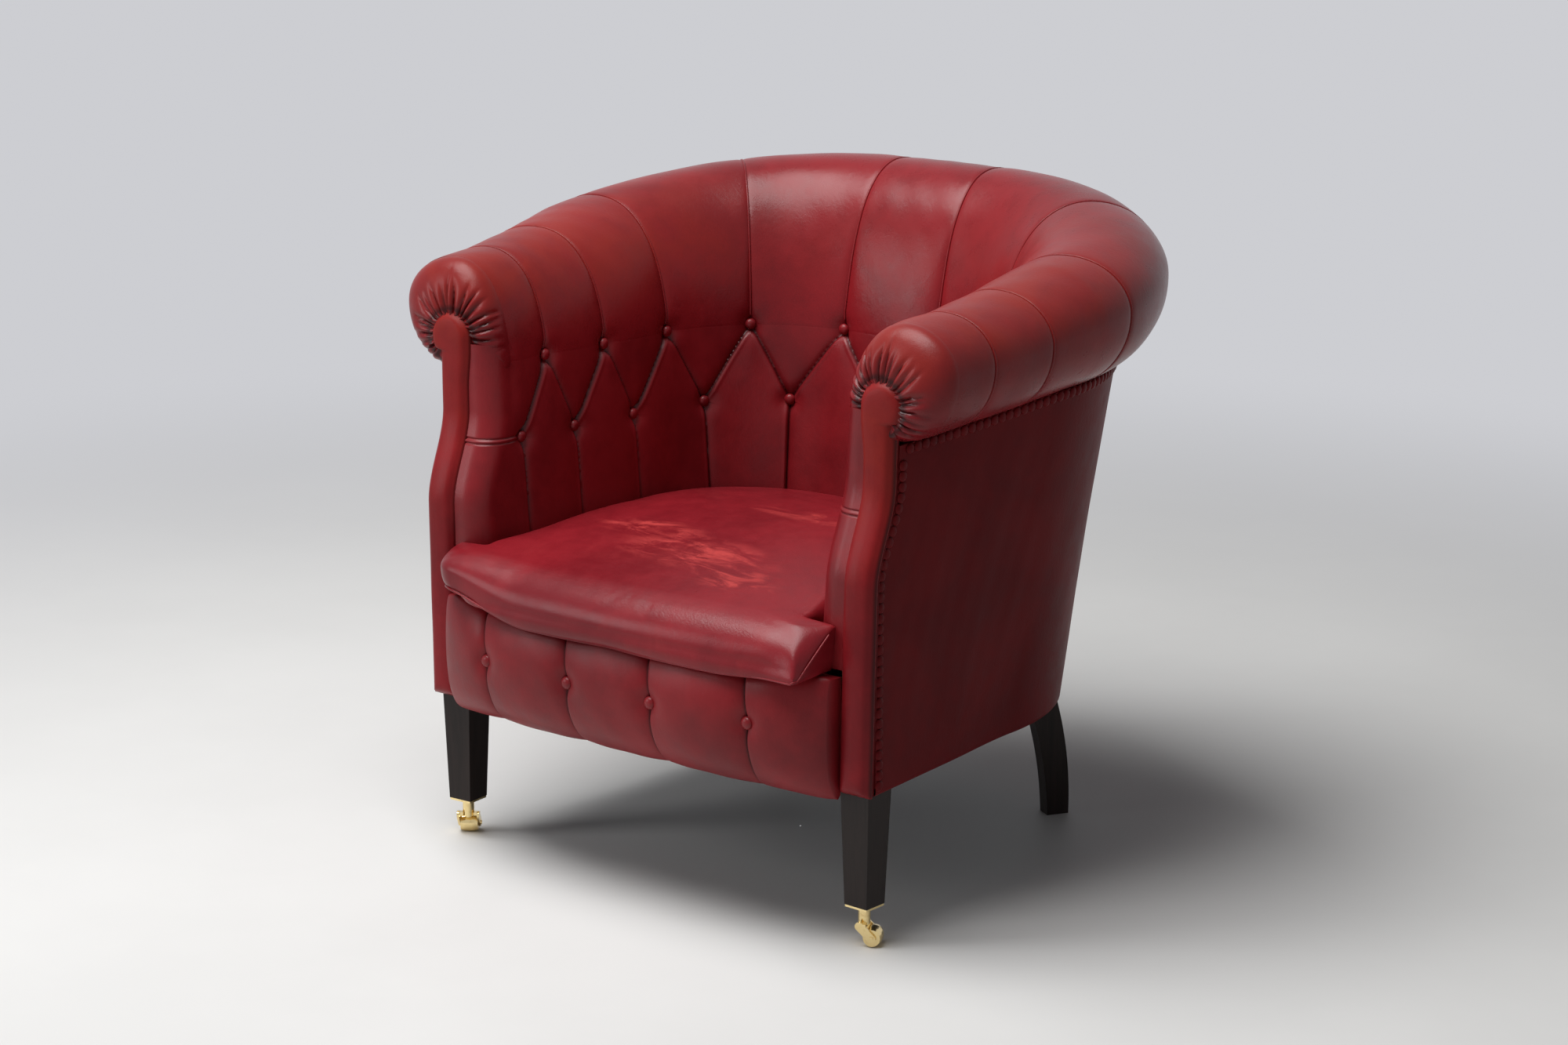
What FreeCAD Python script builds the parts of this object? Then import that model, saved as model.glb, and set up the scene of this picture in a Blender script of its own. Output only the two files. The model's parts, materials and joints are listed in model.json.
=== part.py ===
import FreeCAD, Part
import math
import os

from FreeCAD import Vector

os.makedirs("parts", exist_ok=True)

# A tub armchair in buttoned leather. Millimetres, +Z up, the sitter looks along -Y.
# Left is the sitter's left, which is +X. The floor is z = 0.
# Depths in the sizes below are measured back from the front plane of the arm facings.

# Plan of the tub, along the crest of the rolled top
CREST_RADIUS = 262.0
BACK_FLAT_HALF = 66.0
CORNER_DEPTH = 303.0
ARM_FRONT_HALF = 308.0
ARM_FRONT_DEPTH = 38.0

# Heights of the rolled top: back, corner, rear of the arm, middle of the arm, front of the arm
CREST_Z = (744.0, 730.0, 696.0, 674.0, 663.0)
NAIL_Z = (580.0, 574.0, 566.0, 553.0, 542.0)
TOP_BUTTON_Z = 553.0
LOWER_BUTTON_Z = 466.0
WIDEST_SHARE = 0.42
INNER_FULLNESS = 1.09

# Distances out from the crest (negative is inward), at the same five places
ROLL_OUT = (79.5, 79.5, 78.0, 71.0, 63.5)
PANEL_OUT = (27.0, 25.5, 25.0, 15.0, 4.0)
PANEL_FOOT_OUT = (-18.0, -26.0, -31.0, -15.5, -0.5)
INNER_TOP = (-113.0, -114.0, -112.0, -89.0, -66.0)
INNER_FOOT = (-152.0, -146.0, -130.0, -105.0, -81.0)
INNER_FOOT_Z = 304.0

# Leather covers
ROLL_SEAM = 3.0
SEAM_SHARE = 0.12
ROLL_SWELL = 1.5
TUFT_DIP = 8.0
TUFT_SWELL = 4.0
PAD_THICKNESS = 38.0
PANEL_THICKNESS = 4.0
PANEL_FOOT_Z = 172.0
PANEL_TUCK = 6.0
PANEL_FOLD = 0.8
HEM = 1.5
SEAT_GAP = 0.3

# Stations of the ten sewn seams and the eleven lower buttons, 0 at the back, 3 at an arm's front
SEAMS = (1.0, 1.46, 1.90, 2.31, 2.67)
LOWER_BUTTONS = (0.0, 1.262, 1.707, 2.155, 2.518, 2.842)
ROLL_FRONT = 2.90
PAD_FRONT = 3.16
OUTER_JOIN = 1.35

# Arm facings; the inset is from the front end of the crest to the facing's inner edge
FACING_INSET = 41.0
FACING_WIDTH = 40.0
FACING_THICKNESS = 10.0
FACING_SPLAY = 6.0
FACING_SETBACK = 28.0
BEND_LOW_Z = 395.0
BEND_HIGH_Z = 500.0
HEAD_RADIUS = 28.5
HEAD_Z = 580.0
HEAD_OUT = 4.0
HEAD_PROUD = 1.0
NECK_Z = 522.0
THROAT_EASE = 1.0
FACING_EDGE_ROUND = 5.0
PIPING_RADIUS = 2.0

# Gathered ends of the roll; the rises are shares of how far the end is drawn in
ROLL_END_BULGE = 26.0
ROLL_END_DRAW = 41.6
ROLL_END_TURN = 0.98
HEEL_RISE = 0.6
TOE_RISE = 0.3

# Legs; the inset is from the middle of the facing's foot
LEG_INSET = 5.0
LEG_DEPTH = 34.0
LEG_TOP_SIDE = 38.0
LEG_FOOT_SIDE = 30.0
LEG_TURN = -3.0
FRONT_LEG_FOOT_Z = 45.0
REAR_LEG_STATION = 1.34
REAR_LEG_THICKNESS = 20.0
REAR_FOOT_OUT = -6.0
REAR_FOOT_LENGTH = 27.0
REAR_TOP_OUT = -42.0
REAR_TOP_LENGTH = 38.0
REAR_SWEEP = 9.0

# Beech frame
RAIL_FOOT_Z = 177.0
RAIL_TOP_Z = 258.0
RAIL_THICKNESS = 26.0
FRAME_CLEARANCE = 3.0
SCROLL_RAIL_OUT = 4.0
SCROLL_RAIL_DEPTH = 30.0
STILE_THICKNESS = 22.0
STILES = (1.15, 2.02)
POST_THICKNESS = 30.0
TACK_RAIL_SIDE = 24.0
BLOCK_SIDE = 46.0
BLOCK_TOP_Z = 240.0

# Seat
DECK_TOP_Z = 300.0
COVER_THICKNESS = 2.0
SPRING_WIRE = 3.8
SPRING_PITCH = 24.0
SPRING_WIDTH = 44.0
SPRING_SPACING = 78.0
SPRING_COUNT = 5
CLIP_SIDE = 16.0
CLIP_FLOOR = 1.5
DUST_COVER_THICKNESS = 1.5
WEB_WIDTH = 50.0
WEB_THICKNESS = 2.5
WEB_GAP = 2.0

# Loose cushion
CUSHION_LIP = 60.0
CUSHION_LIP_BOW = 14.0
CUSHION_LIP_GAP = 5.0
CUSHION_NOTCH_DEPTH = 7.0
CUSHION_CROWN_Z = 388.0
CUSHION_SIDE_Z = 352.0
CUSHION_NOSE_Z = 340.0
CUSHION_BACK_Z = 366.0
CUSHION_CLEARANCE = 2.5
CUSHION_DRAW_IN = 6.0
CUSHION_EASE = 0.3
CUSHION_NOSE_RADIUS = 24.0
CUSHION_HEEL_RADIUS = 20.0
CUSHION_NOSE_EASE = 8.0
CUSHION_HEEL_EASE = 6.0
CUSHION_NOSE_SHARE = 0.45
CUSHION_FRONT_RISE = 9.0
CUSHION_REAR_RISE = 4.0
TRIM_MARGIN = 1.0

# Buttoned front border
BORDER_GAP = 1.5
BORDER_FOOT_Z = 164.0
BORDER_TOP_Z = 296.0
BORDER_BELLY = 54.0
BORDER_END_BELLY = 14.0
BORDER_DIP = 9.0
BORDER_BUTTONS = (58.0, 182.0)
BORDER_BUTTON_Z = 242.0
BORDER_WIDE_RISE = 8.0
BORDER_TOP_SHARE = 0.55
BORDER_TUCK = 4.0
BORDER_LOW_CURVE = (0.30, 0.36)
BORDER_HIGH_CURVE = (0.22, 0.62)

# Buttons and nails
BUTTON_RADIUS = 6.7
BUTTON_HEIGHT = 4.5
BUTTON_PROUD = 1.3
DIMPLE_REACH = 30.0
SHOULDER_HEIGHT = 0.4
SHOULDER_SPREAD = 0.92
CROWN_SPREAD = 0.45
NAIL_RADIUS = 5.0
NAIL_HEIGHT = 2.8
NAIL_PITCH = 12.6
NAIL_LIFT = 0.5
NAIL_DROP = 5.5
NAIL_SETBACK = 20.0
NAIL_ROW_FRONT = 2.93

# Castors
PLATE_SIDE = 29.0
PLATE_THICKNESS = 2.5
PLATE_SCREW_RADIUS = 2.4
PLATE_SCREW_LENGTH = 12.0
PLATE_SCREW_INSET = 5.0
PIN_RADIUS = 3.0
PIN_HEAD_RADIUS = 4.2
PIN_HEAD_HEIGHT = 1.9
BOSS_RADIUS = 6.6
BOSS_FOOT_Z = 22.6
RUNNING_FIT = 0.05
FORK_GAP = 0.3
TRAIL = 10.0
WHEEL_RADIUS = 10.5
WHEEL_WIDTH = 20.0
WHEEL_CROWN = 1.2
WHEEL_TREAD = 8.0
CHEEK_THICKNESS = 2.5
CHEEK_RADIUS = 4.6
CHEEK_RUN = 13.0
BRIDGE_HEIGHT = 3.4
AXLE_RADIUS = 1.5
AXLE_HEAD_RADIUS = 2.6
AXLE_HEAD_HEIGHT = 0.9
CASTOR_ANGLES = {"left": 24.5, "right": 124.5}

# Worked out from the sizes above
SIDES = {"left": 1.0, "right": -1.0}
FACING_INNER = ARM_FRONT_HALF - FACING_INSET
LEG_HALF_SPACING = FACING_INNER + FACING_WIDTH / 2.0 - LEG_INSET
BORDER_HALF = FACING_INNER - BORDER_GAP
CUSHION_LIP_HALF = FACING_INNER - CUSHION_LIP_GAP
BACK_EXTENT = CORNER_DEPTH + CREST_RADIUS + ROLL_OUT[0] + ROLL_SWELL
FACE_Y = (CUSHION_LIP - BACK_EXTENT) / 2.0
CORNER_Y = FACE_Y + CORNER_DEPTH
PLACES = (1.0, 1.5, 2.0, 2.5, 3.0)
STATION_STEP = 0.001
PAD_BACK = PAD_THICKNESS + WEB_GAP + WEB_THICKNESS + SEAT_GAP
SPRING_Z = RAIL_TOP_Z + CLIP_FLOOR + SPRING_WIRE / 2.0
DECK_BOTTOM_Z = SPRING_Z + SPRING_WIRE / 2.0 + SEAT_GAP + COVER_THICKNESS


def arm_line():
    """Angle of the arm's outward direction and the point where the arm meets the corner arc."""
    dx = ARM_FRONT_HALF - BACK_FLAT_HALF
    dy = ARM_FRONT_DEPTH - CORNER_DEPTH
    angle = math.atan2(dy, dx) + math.acos(CREST_RADIUS / math.hypot(dx, dy))
    x = BACK_FLAT_HALF + CREST_RADIUS * math.cos(angle)
    y = CORNER_Y + CREST_RADIUS * math.sin(angle)
    return angle, x, y


ARM_ANGLE, ARM_X, ARM_Y = arm_line()


def station(t):
    """Crest point and outward direction at station t, from -3 over the back to 3."""
    side = -1.0 if t < 0 else 1.0
    a = abs(t)
    if a <= 1.0:
        x, y, angle = BACK_FLAT_HALF * a, CORNER_Y + CREST_RADIUS, math.pi / 2
    elif a <= 2.0:
        angle = math.pi / 2 - (math.pi / 2 - ARM_ANGLE) * (a - 1.0)
        x = BACK_FLAT_HALF + CREST_RADIUS * math.cos(angle)
        y = CORNER_Y + CREST_RADIUS * math.sin(angle)
    else:
        angle = ARM_ANGLE
        x = ARM_X + (ARM_FRONT_HALF - ARM_X) * (a - 2.0)
        y = ARM_Y + (FACE_Y + ARM_FRONT_DEPTH - ARM_Y) * (a - 2.0)
    return Vector(side * x, y, 0), Vector(side * math.cos(angle), math.sin(angle), 0)


def at(values, t):
    """Value at station t of a size given at the five places from the back to the arm's front."""
    a = max(abs(t), PLACES[0])
    k = min(int((a - PLACES[0]) / (PLACES[1] - PLACES[0])), len(PLACES) - 2)
    share = (a - PLACES[k]) / (PLACES[k + 1] - PLACES[k])
    return values[k] + (values[k + 1] - values[k]) * share


def point(t, n, z):
    """Point at distance n outward from the crest and height z, in the plane of station t."""
    crest, outward = station(t)
    return crest + outward * n + Vector(0, 0, z)


def panel_n(t, z):
    """Outer face of the outside leather at height z."""
    share = (z - PANEL_FOOT_Z) / (at(NAIL_Z, t) - PANEL_FOOT_Z)
    return at(PANEL_FOOT_OUT, t) + (at(PANEL_OUT, t) - at(PANEL_FOOT_OUT, t)) * share


def inner_n(t, z):
    """Inner face of the arm and back padding at height z, before any tuft."""
    share = (TOP_BUTTON_Z - z) / (TOP_BUTTON_Z - INNER_FOOT_Z)
    return at(INNER_TOP, t) + (at(INNER_FOOT, t) - at(INNER_TOP, t)) * share


def underside_z(t, n):
    """Height of the flat underside of the roll at distance n from the crest."""
    share = (n - at(INNER_TOP, t)) / (at(PANEL_OUT, t) - at(INNER_TOP, t))
    return TOP_BUTTON_Z + (at(NAIL_Z, t) - TOP_BUTTON_Z) * share


def edges_wire(points):
    """Closed wire: a pair of points is a line, three points are an arc through the middle one."""
    edges = []
    for run in points:
        if len(run) == 2:
            edges.append(Part.LineSegment(run[0], run[1]).toShape())
        else:
            edges.append(Part.Arc(run[0], run[1], run[2]).toShape())
    return Part.Wire(edges)


def polygon(points):
    """Closed wire of straight edges."""
    return Part.makePolygon(list(points) + [points[0]])


def loft(wires, ruled=False):
    """Closed solid through a row of wires."""
    return Part.makeLoft(wires, True, ruled)


def chain(stations, wire_at):
    """Solid through a row of stations, with a smooth swell between each pair and a crease at each."""
    spans = []
    for first, last in zip(stations, stations[1:]):
        spans.append(loft([wire_at(first), wire_at((first + last) / 2.0), wire_at(last)]))
    solid = spans[0]
    for span in spans[1:]:
        solid = solid.fuse(span)
    return solid.removeSplitter()


def box(x0, x1, y0, y1, z0, z1):
    """Box between two corners."""
    return Part.makeBox(x1 - x0, y1 - y0, z1 - z0, Vector(x0, y0, z0))


def mirrored(shape, side):
    """Shape as made for the left side, or its mirror image for the right."""
    if SIDES[side] > 0:
        return shape
    return shape.mirror(Vector(0, 0, 0), Vector(1, 0, 0))


def save(name, solids):
    """Write one piece, or a group of like pieces, as one STEP file."""
    solids = solids if isinstance(solids, list) else [solids]
    parts = [solid for shape in solids for solid in shape.Solids]
    shape = parts[0] if len(parts) == 1 else Part.makeCompound(parts)
    for solid in parts:
        if not solid.isValid() or solid.Volume <= 0:
            print("check", name, solid.isValid(), round(solid.Volume, 1))
    shape.exportStep("parts/" + name + ".step")
    print(name, len(parts), round(shape.Volume / 1000.0, 1), "cm3")


# Side profile of an arm's front: upright, an easy bend back, upright again


def front_line(setback):
    """Runs of the arm's front line in the YZ plane, moved back by setback."""
    low = FACE_Y + setback
    high = low + FACING_SETBACK
    mid_y = (low + high) / 2.0
    mid_z = (BEND_LOW_Z + BEND_HIGH_Z) / 2.0
    start = Vector(0, low, BEND_LOW_Z)
    middle = Vector(0, mid_y, mid_z)
    end = Vector(0, high, BEND_HIGH_Z)
    chord = middle - start
    sag = chord.Length / 2.0 * math.tan(math.atan2(chord.y, chord.z) / 2.0)
    bow = Vector(0, -chord.z, chord.y).normalize() * sag
    first = (start + middle) * 0.5 + bow
    second = (middle + end) * 0.5 - bow
    return start, first, middle, second, end


def front_trim(setback):
    """Block that takes away everything in front of the arm's front line, moved back by setback."""
    start, first, middle, second, end = front_line(setback)
    reach = CUSHION_LIP + FACING_SETBACK + setback
    below = Vector(0, start.y, 0)
    above = Vector(0, end.y, CREST_Z[0])
    wire = edges_wire([
        (below, start),
        (start, first, middle),
        (middle, second, end),
        (end, above),
        (above, above - Vector(0, reach, 0)),
        (above - Vector(0, reach, 0), below - Vector(0, reach, 0)),
        (below - Vector(0, reach, 0), below),
    ])
    half = ARM_FRONT_HALF + ROLL_OUT[0]
    wire.translate(Vector(-half, 0, 0))
    return Part.Face(wire).extrude(Vector(2 * half, 0, 0))


def front_band(front, back, half_from, half_to):
    """Slab between two front lines, from one x to another."""
    slab = box(half_from, half_to, FACE_Y - TRIM_MARGIN, FACE_Y + FACING_SETBACK + back, 0, CREST_Z[0])
    slab = slab.cut(front_trim(front))
    return slab.common(front_trim(back))


# Rolled top


def roll_wire(t, swell, shrink=0.0, forward=0.0):
    """Section of the rolled top at station t, swollen by swell, or drawn in and moved forward."""
    out = at(ROLL_OUT, t) + swell - shrink
    top = at(CREST_Z, t) + swell - shrink
    nail_n = at(PANEL_OUT, t) + HEM
    nail_z = at(NAIL_Z, t) + shrink * HEEL_RISE
    inner = at(INNER_TOP, t) - swell + shrink
    wide_z = top - WIDEST_SHARE * (top - nail_z)
    drop = wide_z - nail_z
    inset = out - nail_n
    radius = (drop * drop + inset * inset) / (2.0 * inset)
    half = drop / 2.0
    low_n = out - (radius - math.sqrt(radius * radius - half * half))
    quarter = math.sqrt(0.5)
    high_n = out * quarter
    high_z = wide_z + (top - wide_z) * quarter
    in_n = inner * quarter * INNER_FULLNESS
    in_z = TOP_BUTTON_Z + (top - TOP_BUTTON_Z) * quarter
    heel = point(t, nail_n, nail_z)
    wide = point(t, out, wide_z)
    crest = point(t, 0, top)
    toe = point(t, inner, TOP_BUTTON_Z + shrink * TOE_RISE)
    wire = edges_wire([
        (heel, point(t, low_n, wide_z - half), wide),
        (wide, point(t, high_n, high_z), crest),
        (crest, point(t, in_n, in_z), toe),
        (toe, heel),
    ])
    wire.translate(Vector(0, -forward, 0))
    return wire


def roll_panel(t0, t1):
    """One sewn panel of the rolled top with its stuffing, drawn in at both seams."""
    wires = []
    near = (0.0, SEAM_SHARE, 0.5, 1.0 - SEAM_SHARE, 1.0)
    for share, swell in zip(near, (-ROLL_SEAM, 0.0, ROLL_SWELL, 0.0, -ROLL_SEAM)):
        wires.append(roll_wire(t0 + (t1 - t0) * share, swell))
    return loft(wires)


def roll_end(head):
    """Gathered front end of the roll, closed round the head of the facing."""
    wires = []
    for share in (0.0, 0.35, 0.7, 0.92, 1.0):
        shrink = ROLL_END_DRAW * (1.0 - math.sqrt(1.0 - (ROLL_END_TURN * share) ** 2))
        wires.append(roll_wire(ROLL_FRONT, -ROLL_SEAM, shrink, ROLL_END_BULGE * share))
    return loft(wires).cut(head)


# Inside padding with its tufts


def tuft(t):
    """Swell at the top row, at the lower row and below it, for the padding at station t."""
    a = abs(t)
    near_top = min(abs(a - s) for s in SEAMS)
    near_low = min(abs(a - s) for s in LOWER_BUTTONS)
    if near_top < 0.01:
        return -TUFT_DIP, TUFT_SWELL, TUFT_SWELL / 2.0
    if near_low < 0.01:
        return TUFT_SWELL, -TUFT_DIP, -TUFT_DIP / 2.0
    return 0.0, 0.0, 0.0


def pad_wire(t):
    """Section of the inside padding: three rows down the face, a flat back and foot."""
    top, low, foot = tuft(t)
    top_z = TOP_BUTTON_Z
    foot_z = INNER_FOOT_Z
    n_top = inner_n(t, top_z) - top
    n_low = inner_n(t, LOWER_BUTTON_Z) - low
    n_foot = inner_n(t, foot_z) - foot
    z_high = (top_z + LOWER_BUTTON_Z) / 2.0
    z_deep = (LOWER_BUTTON_Z + foot_z) / 2.0
    n_high = (n_top + n_low) / 2.0 - TUFT_SWELL / 2.0
    n_deep = (n_low + n_foot) / 2.0 - TUFT_SWELL
    back_n = inner_n(t, top_z) + PAD_THICKNESS
    back_top = point(t, back_n, underside_z(t, back_n) - HEM)
    back_foot = point(t, inner_n(t, foot_z) + PAD_THICKNESS, foot_z)
    corner = point(t, n_top, underside_z(t, n_top) - HEM)
    button = point(t, n_low, LOWER_BUTTON_Z)
    sole = point(t, n_foot, foot_z)
    return edges_wire([
        (corner, point(t, n_high, z_high), button),
        (button, point(t, n_deep, z_deep), sole),
        (sole, back_foot),
        (back_foot, back_top),
        (back_top, corner),
    ])


def pad_section(t0, t1):
    """Inside padding between two stations, tufted at every button it holds."""
    marks = [s for v in SEAMS + LOWER_BUTTONS for s in {v, -v} if t0 < s < t1]
    return chain(sorted(set([t0, t1] + marks)), pad_wire)


# Outside leather, rails and stiles that follow the tub


def panel_wire(t):
    """Section of the outside leather, tucked under at its foot."""
    top_z = at(NAIL_Z, t) - HEM
    knee_z = PANEL_FOOT_Z + PANEL_TUCK
    foot_n = at(PANEL_FOOT_OUT, t) - PANEL_TUCK
    knee_n = panel_n(t, knee_z)
    thick = PANEL_THICKNESS
    bend_n = (foot_n + 2 * knee_n) / 3.0
    bend_z = (2 * PANEL_FOOT_Z + knee_z) / 3.0
    fold = thick * PANEL_FOLD
    bend = point(t, bend_n, bend_z)
    inner_bend = point(t, bend_n - fold, bend_z + fold)
    top = point(t, panel_n(t, top_z), top_z)
    knee = point(t, knee_n, knee_z)
    foot = point(t, foot_n, PANEL_FOOT_Z)
    inner_foot = point(t, foot_n, PANEL_FOOT_Z + thick)
    inner_knee = point(t, knee_n - thick, knee_z)
    inner_top = point(t, panel_n(t, top_z) - thick, top_z)
    return edges_wire([
        (top, knee),
        (knee, bend, foot),
        (foot, inner_foot),
        (inner_foot, inner_bend, inner_knee),
        (inner_knee, inner_top),
        (inner_top, top),
    ])


def ring(t0, t1, wire_at):
    """Solid that follows the flat back, the corner arcs and the straight arms between two stations."""
    stops = (1.0, OUTER_JOIN, (OUTER_JOIN + 2.0) / 2.0, 2.0, 2.5)
    breaks = [side * a for side in (-1.0, 1.0) for a in stops]
    return chain(sorted(set([t0, t1] + [t for t in breaks if t0 < t < t1])), wire_at)


def rail_n(t):
    """Outer face of the seat rail, just inside the outside leather."""
    return at(PANEL_FOOT_OUT, t) - PANEL_TUCK - FRAME_CLEARANCE


def rail_wire(t):
    """Section of the seat rail."""
    outer = rail_n(t)
    inner = outer - RAIL_THICKNESS
    return polygon([
        point(t, inner, RAIL_FOOT_Z),
        point(t, outer, RAIL_FOOT_Z),
        point(t, outer, RAIL_TOP_Z),
        point(t, inner, RAIL_TOP_Z),
    ])


def scroll_rail_wire(t):
    """Section of the wide curved rail under the roll."""
    foot = TOP_BUTTON_Z - SCROLL_RAIL_DEPTH
    first = at(INNER_TOP, t) + PAD_BACK
    last = min(SCROLL_RAIL_OUT, at(PANEL_OUT, t) - PANEL_THICKNESS - FRAME_CLEARANCE)
    return polygon([
        point(t, inner_n(t, foot) + PAD_BACK, foot),
        point(t, last, foot),
        point(t, last, underside_z(t, last) - FRAME_CLEARANCE),
        point(t, first, underside_z(t, first) - FRAME_CLEARANCE),
    ])


def tack_rail_wire(t):
    """Section of the tacking rail behind the foot of the inside padding."""
    low = INNER_FOOT_Z
    high = low + TACK_RAIL_SIDE
    first = inner_n(t, low) + PAD_BACK
    top = inner_n(t, high) + PAD_BACK
    last = first + TACK_RAIL_SIDE
    return polygon([point(t, first, low), point(t, last, low), point(t, last, high), point(t, top, high)])


def stile(t):
    """Shaped board that stands on the seat rail and carries the scroll and tacking rails."""
    low_z = RAIL_TOP_Z
    high_z = TOP_BUTTON_Z - SCROLL_RAIL_DEPTH
    tack_n = inner_n(t, INNER_FOOT_Z) + PAD_BACK
    outer_top = min(SCROLL_RAIL_OUT, panel_n(t, high_z) - PANEL_THICKNESS - FRAME_CLEARANCE)
    corners = [
        (rail_n(t) - RAIL_THICKNESS, low_z),
        (rail_n(t), low_z),
        (outer_top, high_z),
        (inner_n(t, high_z) + PAD_BACK + FRAME_CLEARANCE, high_z),
        (tack_n + FRAME_CLEARANCE, INNER_FOOT_Z),
    ]
    crest, outward = station(t)
    along = Vector(-outward.y, outward.x, 0) * (STILE_THICKNESS / 2.0)
    wire = polygon([point(t, n, z) - along for n, z in corners])
    return Part.Face(wire).extrude(along * 2.0)


def web_wire(t):
    """Section of the webbing on the inner face of the tacking and scroll rails."""
    low_z = INNER_FOOT_Z
    high_z = TOP_BUTTON_Z - FRAME_CLEARANCE - HEM
    last = PAD_BACK - SEAT_GAP
    first = last - WEB_THICKNESS
    return polygon([
        point(t, inner_n(t, low_z) + first, low_z),
        point(t, inner_n(t, low_z) + last, low_z),
        point(t, inner_n(t, high_z) + last, high_z),
        point(t, inner_n(t, high_z) + first, high_z),
    ])


def web_strip(t):
    """Upright strip of webbing that follows the tub at station t."""
    n = inner_n(t, LOWER_BUTTON_Z)
    run = (point(t + STATION_STEP, n, 0) - point(t, n, 0)).Length
    half = STATION_STEP * WEB_WIDTH / run / 2.0
    return loft([web_wire(s) for s in (t - half, t, t + half)])


# Front of the arms


def facing_head_centre():
    """Centre of the facing's round head, as x and z."""
    return FACING_INNER + FACING_WIDTH / 2.0 + FACING_SPLAY + HEAD_OUT, HEAD_Z


def facing():
    """Padded leather facing of the left arm: a curved upright with a round head."""
    inner = FACING_INNER
    outer = inner + FACING_WIDTH
    head_x, head_z = facing_head_centre()
    neck = FACING_SPLAY * (NECK_Z - PANEL_FOOT_Z) / (head_z - PANEL_FOOT_Z)
    reach = HEAD_RADIUS * math.sqrt(0.5)
    cheek = Vector(head_x + reach, FACE_Y, head_z - reach)
    throat = Vector(outer + neck, FACE_Y, NECK_Z)
    stem = edges_wire([
        (Vector(inner, FACE_Y, PANEL_FOOT_Z), Vector(outer, FACE_Y, PANEL_FOOT_Z)),
        (Vector(outer, FACE_Y, PANEL_FOOT_Z), throat),
        (throat, (throat + cheek) * 0.5 + Vector(-THROAT_EASE, 0, THROAT_EASE), cheek),
        (cheek, Vector(head_x, FACE_Y, head_z)),
        (Vector(head_x, FACE_Y, head_z), Vector(inner + FACING_SPLAY, FACE_Y, head_z)),
        (Vector(inner + FACING_SPLAY, FACE_Y, head_z), Vector(inner, FACE_Y, PANEL_FOOT_Z)),
    ])
    depth = FACING_SETBACK + FACING_THICKNESS
    upright = Part.Face(stem).extrude(Vector(0, depth, 0))
    upright = upright.common(front_band(0.0, FACING_THICKNESS, 0.0, 2 * outer))
    thickness = FACING_THICKNESS + HEAD_PROUD
    front_y = FACE_Y + FACING_SETBACK - HEAD_PROUD
    head = Part.makeCylinder(HEAD_RADIUS, thickness, Vector(head_x, front_y, head_z), Vector(0, 1, 0))
    rim = [edge for edge in head.Edges if abs(edge.CenterOfMass.y - front_y) < 0.01]
    head = head.makeFillet(FACING_EDGE_ROUND, rim)
    return upright.fuse(head).removeSplitter()


def facing_piping():
    """Welt along the outer back edge of the facing."""
    start, first, middle, second, end = front_line(FACING_THICKNESS + PIPING_RADIUS + SEAT_GAP)
    head_x, head_z = facing_head_centre()
    x = FACING_INNER + FACING_WIDTH - PIPING_RADIUS
    low = Vector(x, start.y, PANEL_FOOT_Z + PIPING_RADIUS)
    lift = Vector(x, 0, 0)
    high = Vector(x, end.y, head_z - HEAD_RADIUS - PIPING_RADIUS)
    path = edges_wire([
        (low, start + lift),
        (start + lift, first + lift, middle + lift),
        (middle + lift, second + lift, end + lift),
        (end + lift, high),
    ])
    circle = Part.Wire(Part.makeCircle(PIPING_RADIUS, low, Vector(0, 0, 1)))
    return path.makePipeShell([circle], True, False)


def front_post():
    """Beech post behind the facing."""
    first = FACING_THICKNESS + SEAT_GAP
    last = first + POST_THICKNESS
    inner = FACING_INNER + SEAT_GAP
    outer = FACING_INNER + FACING_WIDTH - 2 * PIPING_RADIUS - PANEL_THICKNESS - SEAT_GAP
    band = front_band(first, last, inner, outer)
    top_z = TOP_BUTTON_Z - SCROLL_RAIL_DEPTH
    return band.common(box(inner, outer, FACE_Y, FACE_Y + last + FACING_SETBACK, RAIL_TOP_Z, top_z))


# Legs


def front_leg():
    """Square tapered front leg, turned a little, with its block between the rails."""
    wires = []
    for side, z in ((LEG_FOOT_SIDE, FRONT_LEG_FOOT_Z), (LEG_TOP_SIDE, RAIL_FOOT_Z)):
        half = side / 2.0
        wires.append(polygon([
            Vector(-half, -half, z), Vector(half, -half, z), Vector(half, half, z), Vector(-half, half, z),
        ]))
    taper = loft(wires, True)
    half = LEG_TOP_SIDE / 2.0
    block = box(-half, half, -half, half, RAIL_FOOT_Z, RAIL_TOP_Z)
    leg = taper.fuse(block).removeSplitter()
    leg.rotate(Vector(0, 0, 0), Vector(0, 0, 1), LEG_TURN)
    leg.translate(Vector(LEG_HALF_SPACING, FACE_Y + LEG_DEPTH, 0))
    return leg


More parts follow.
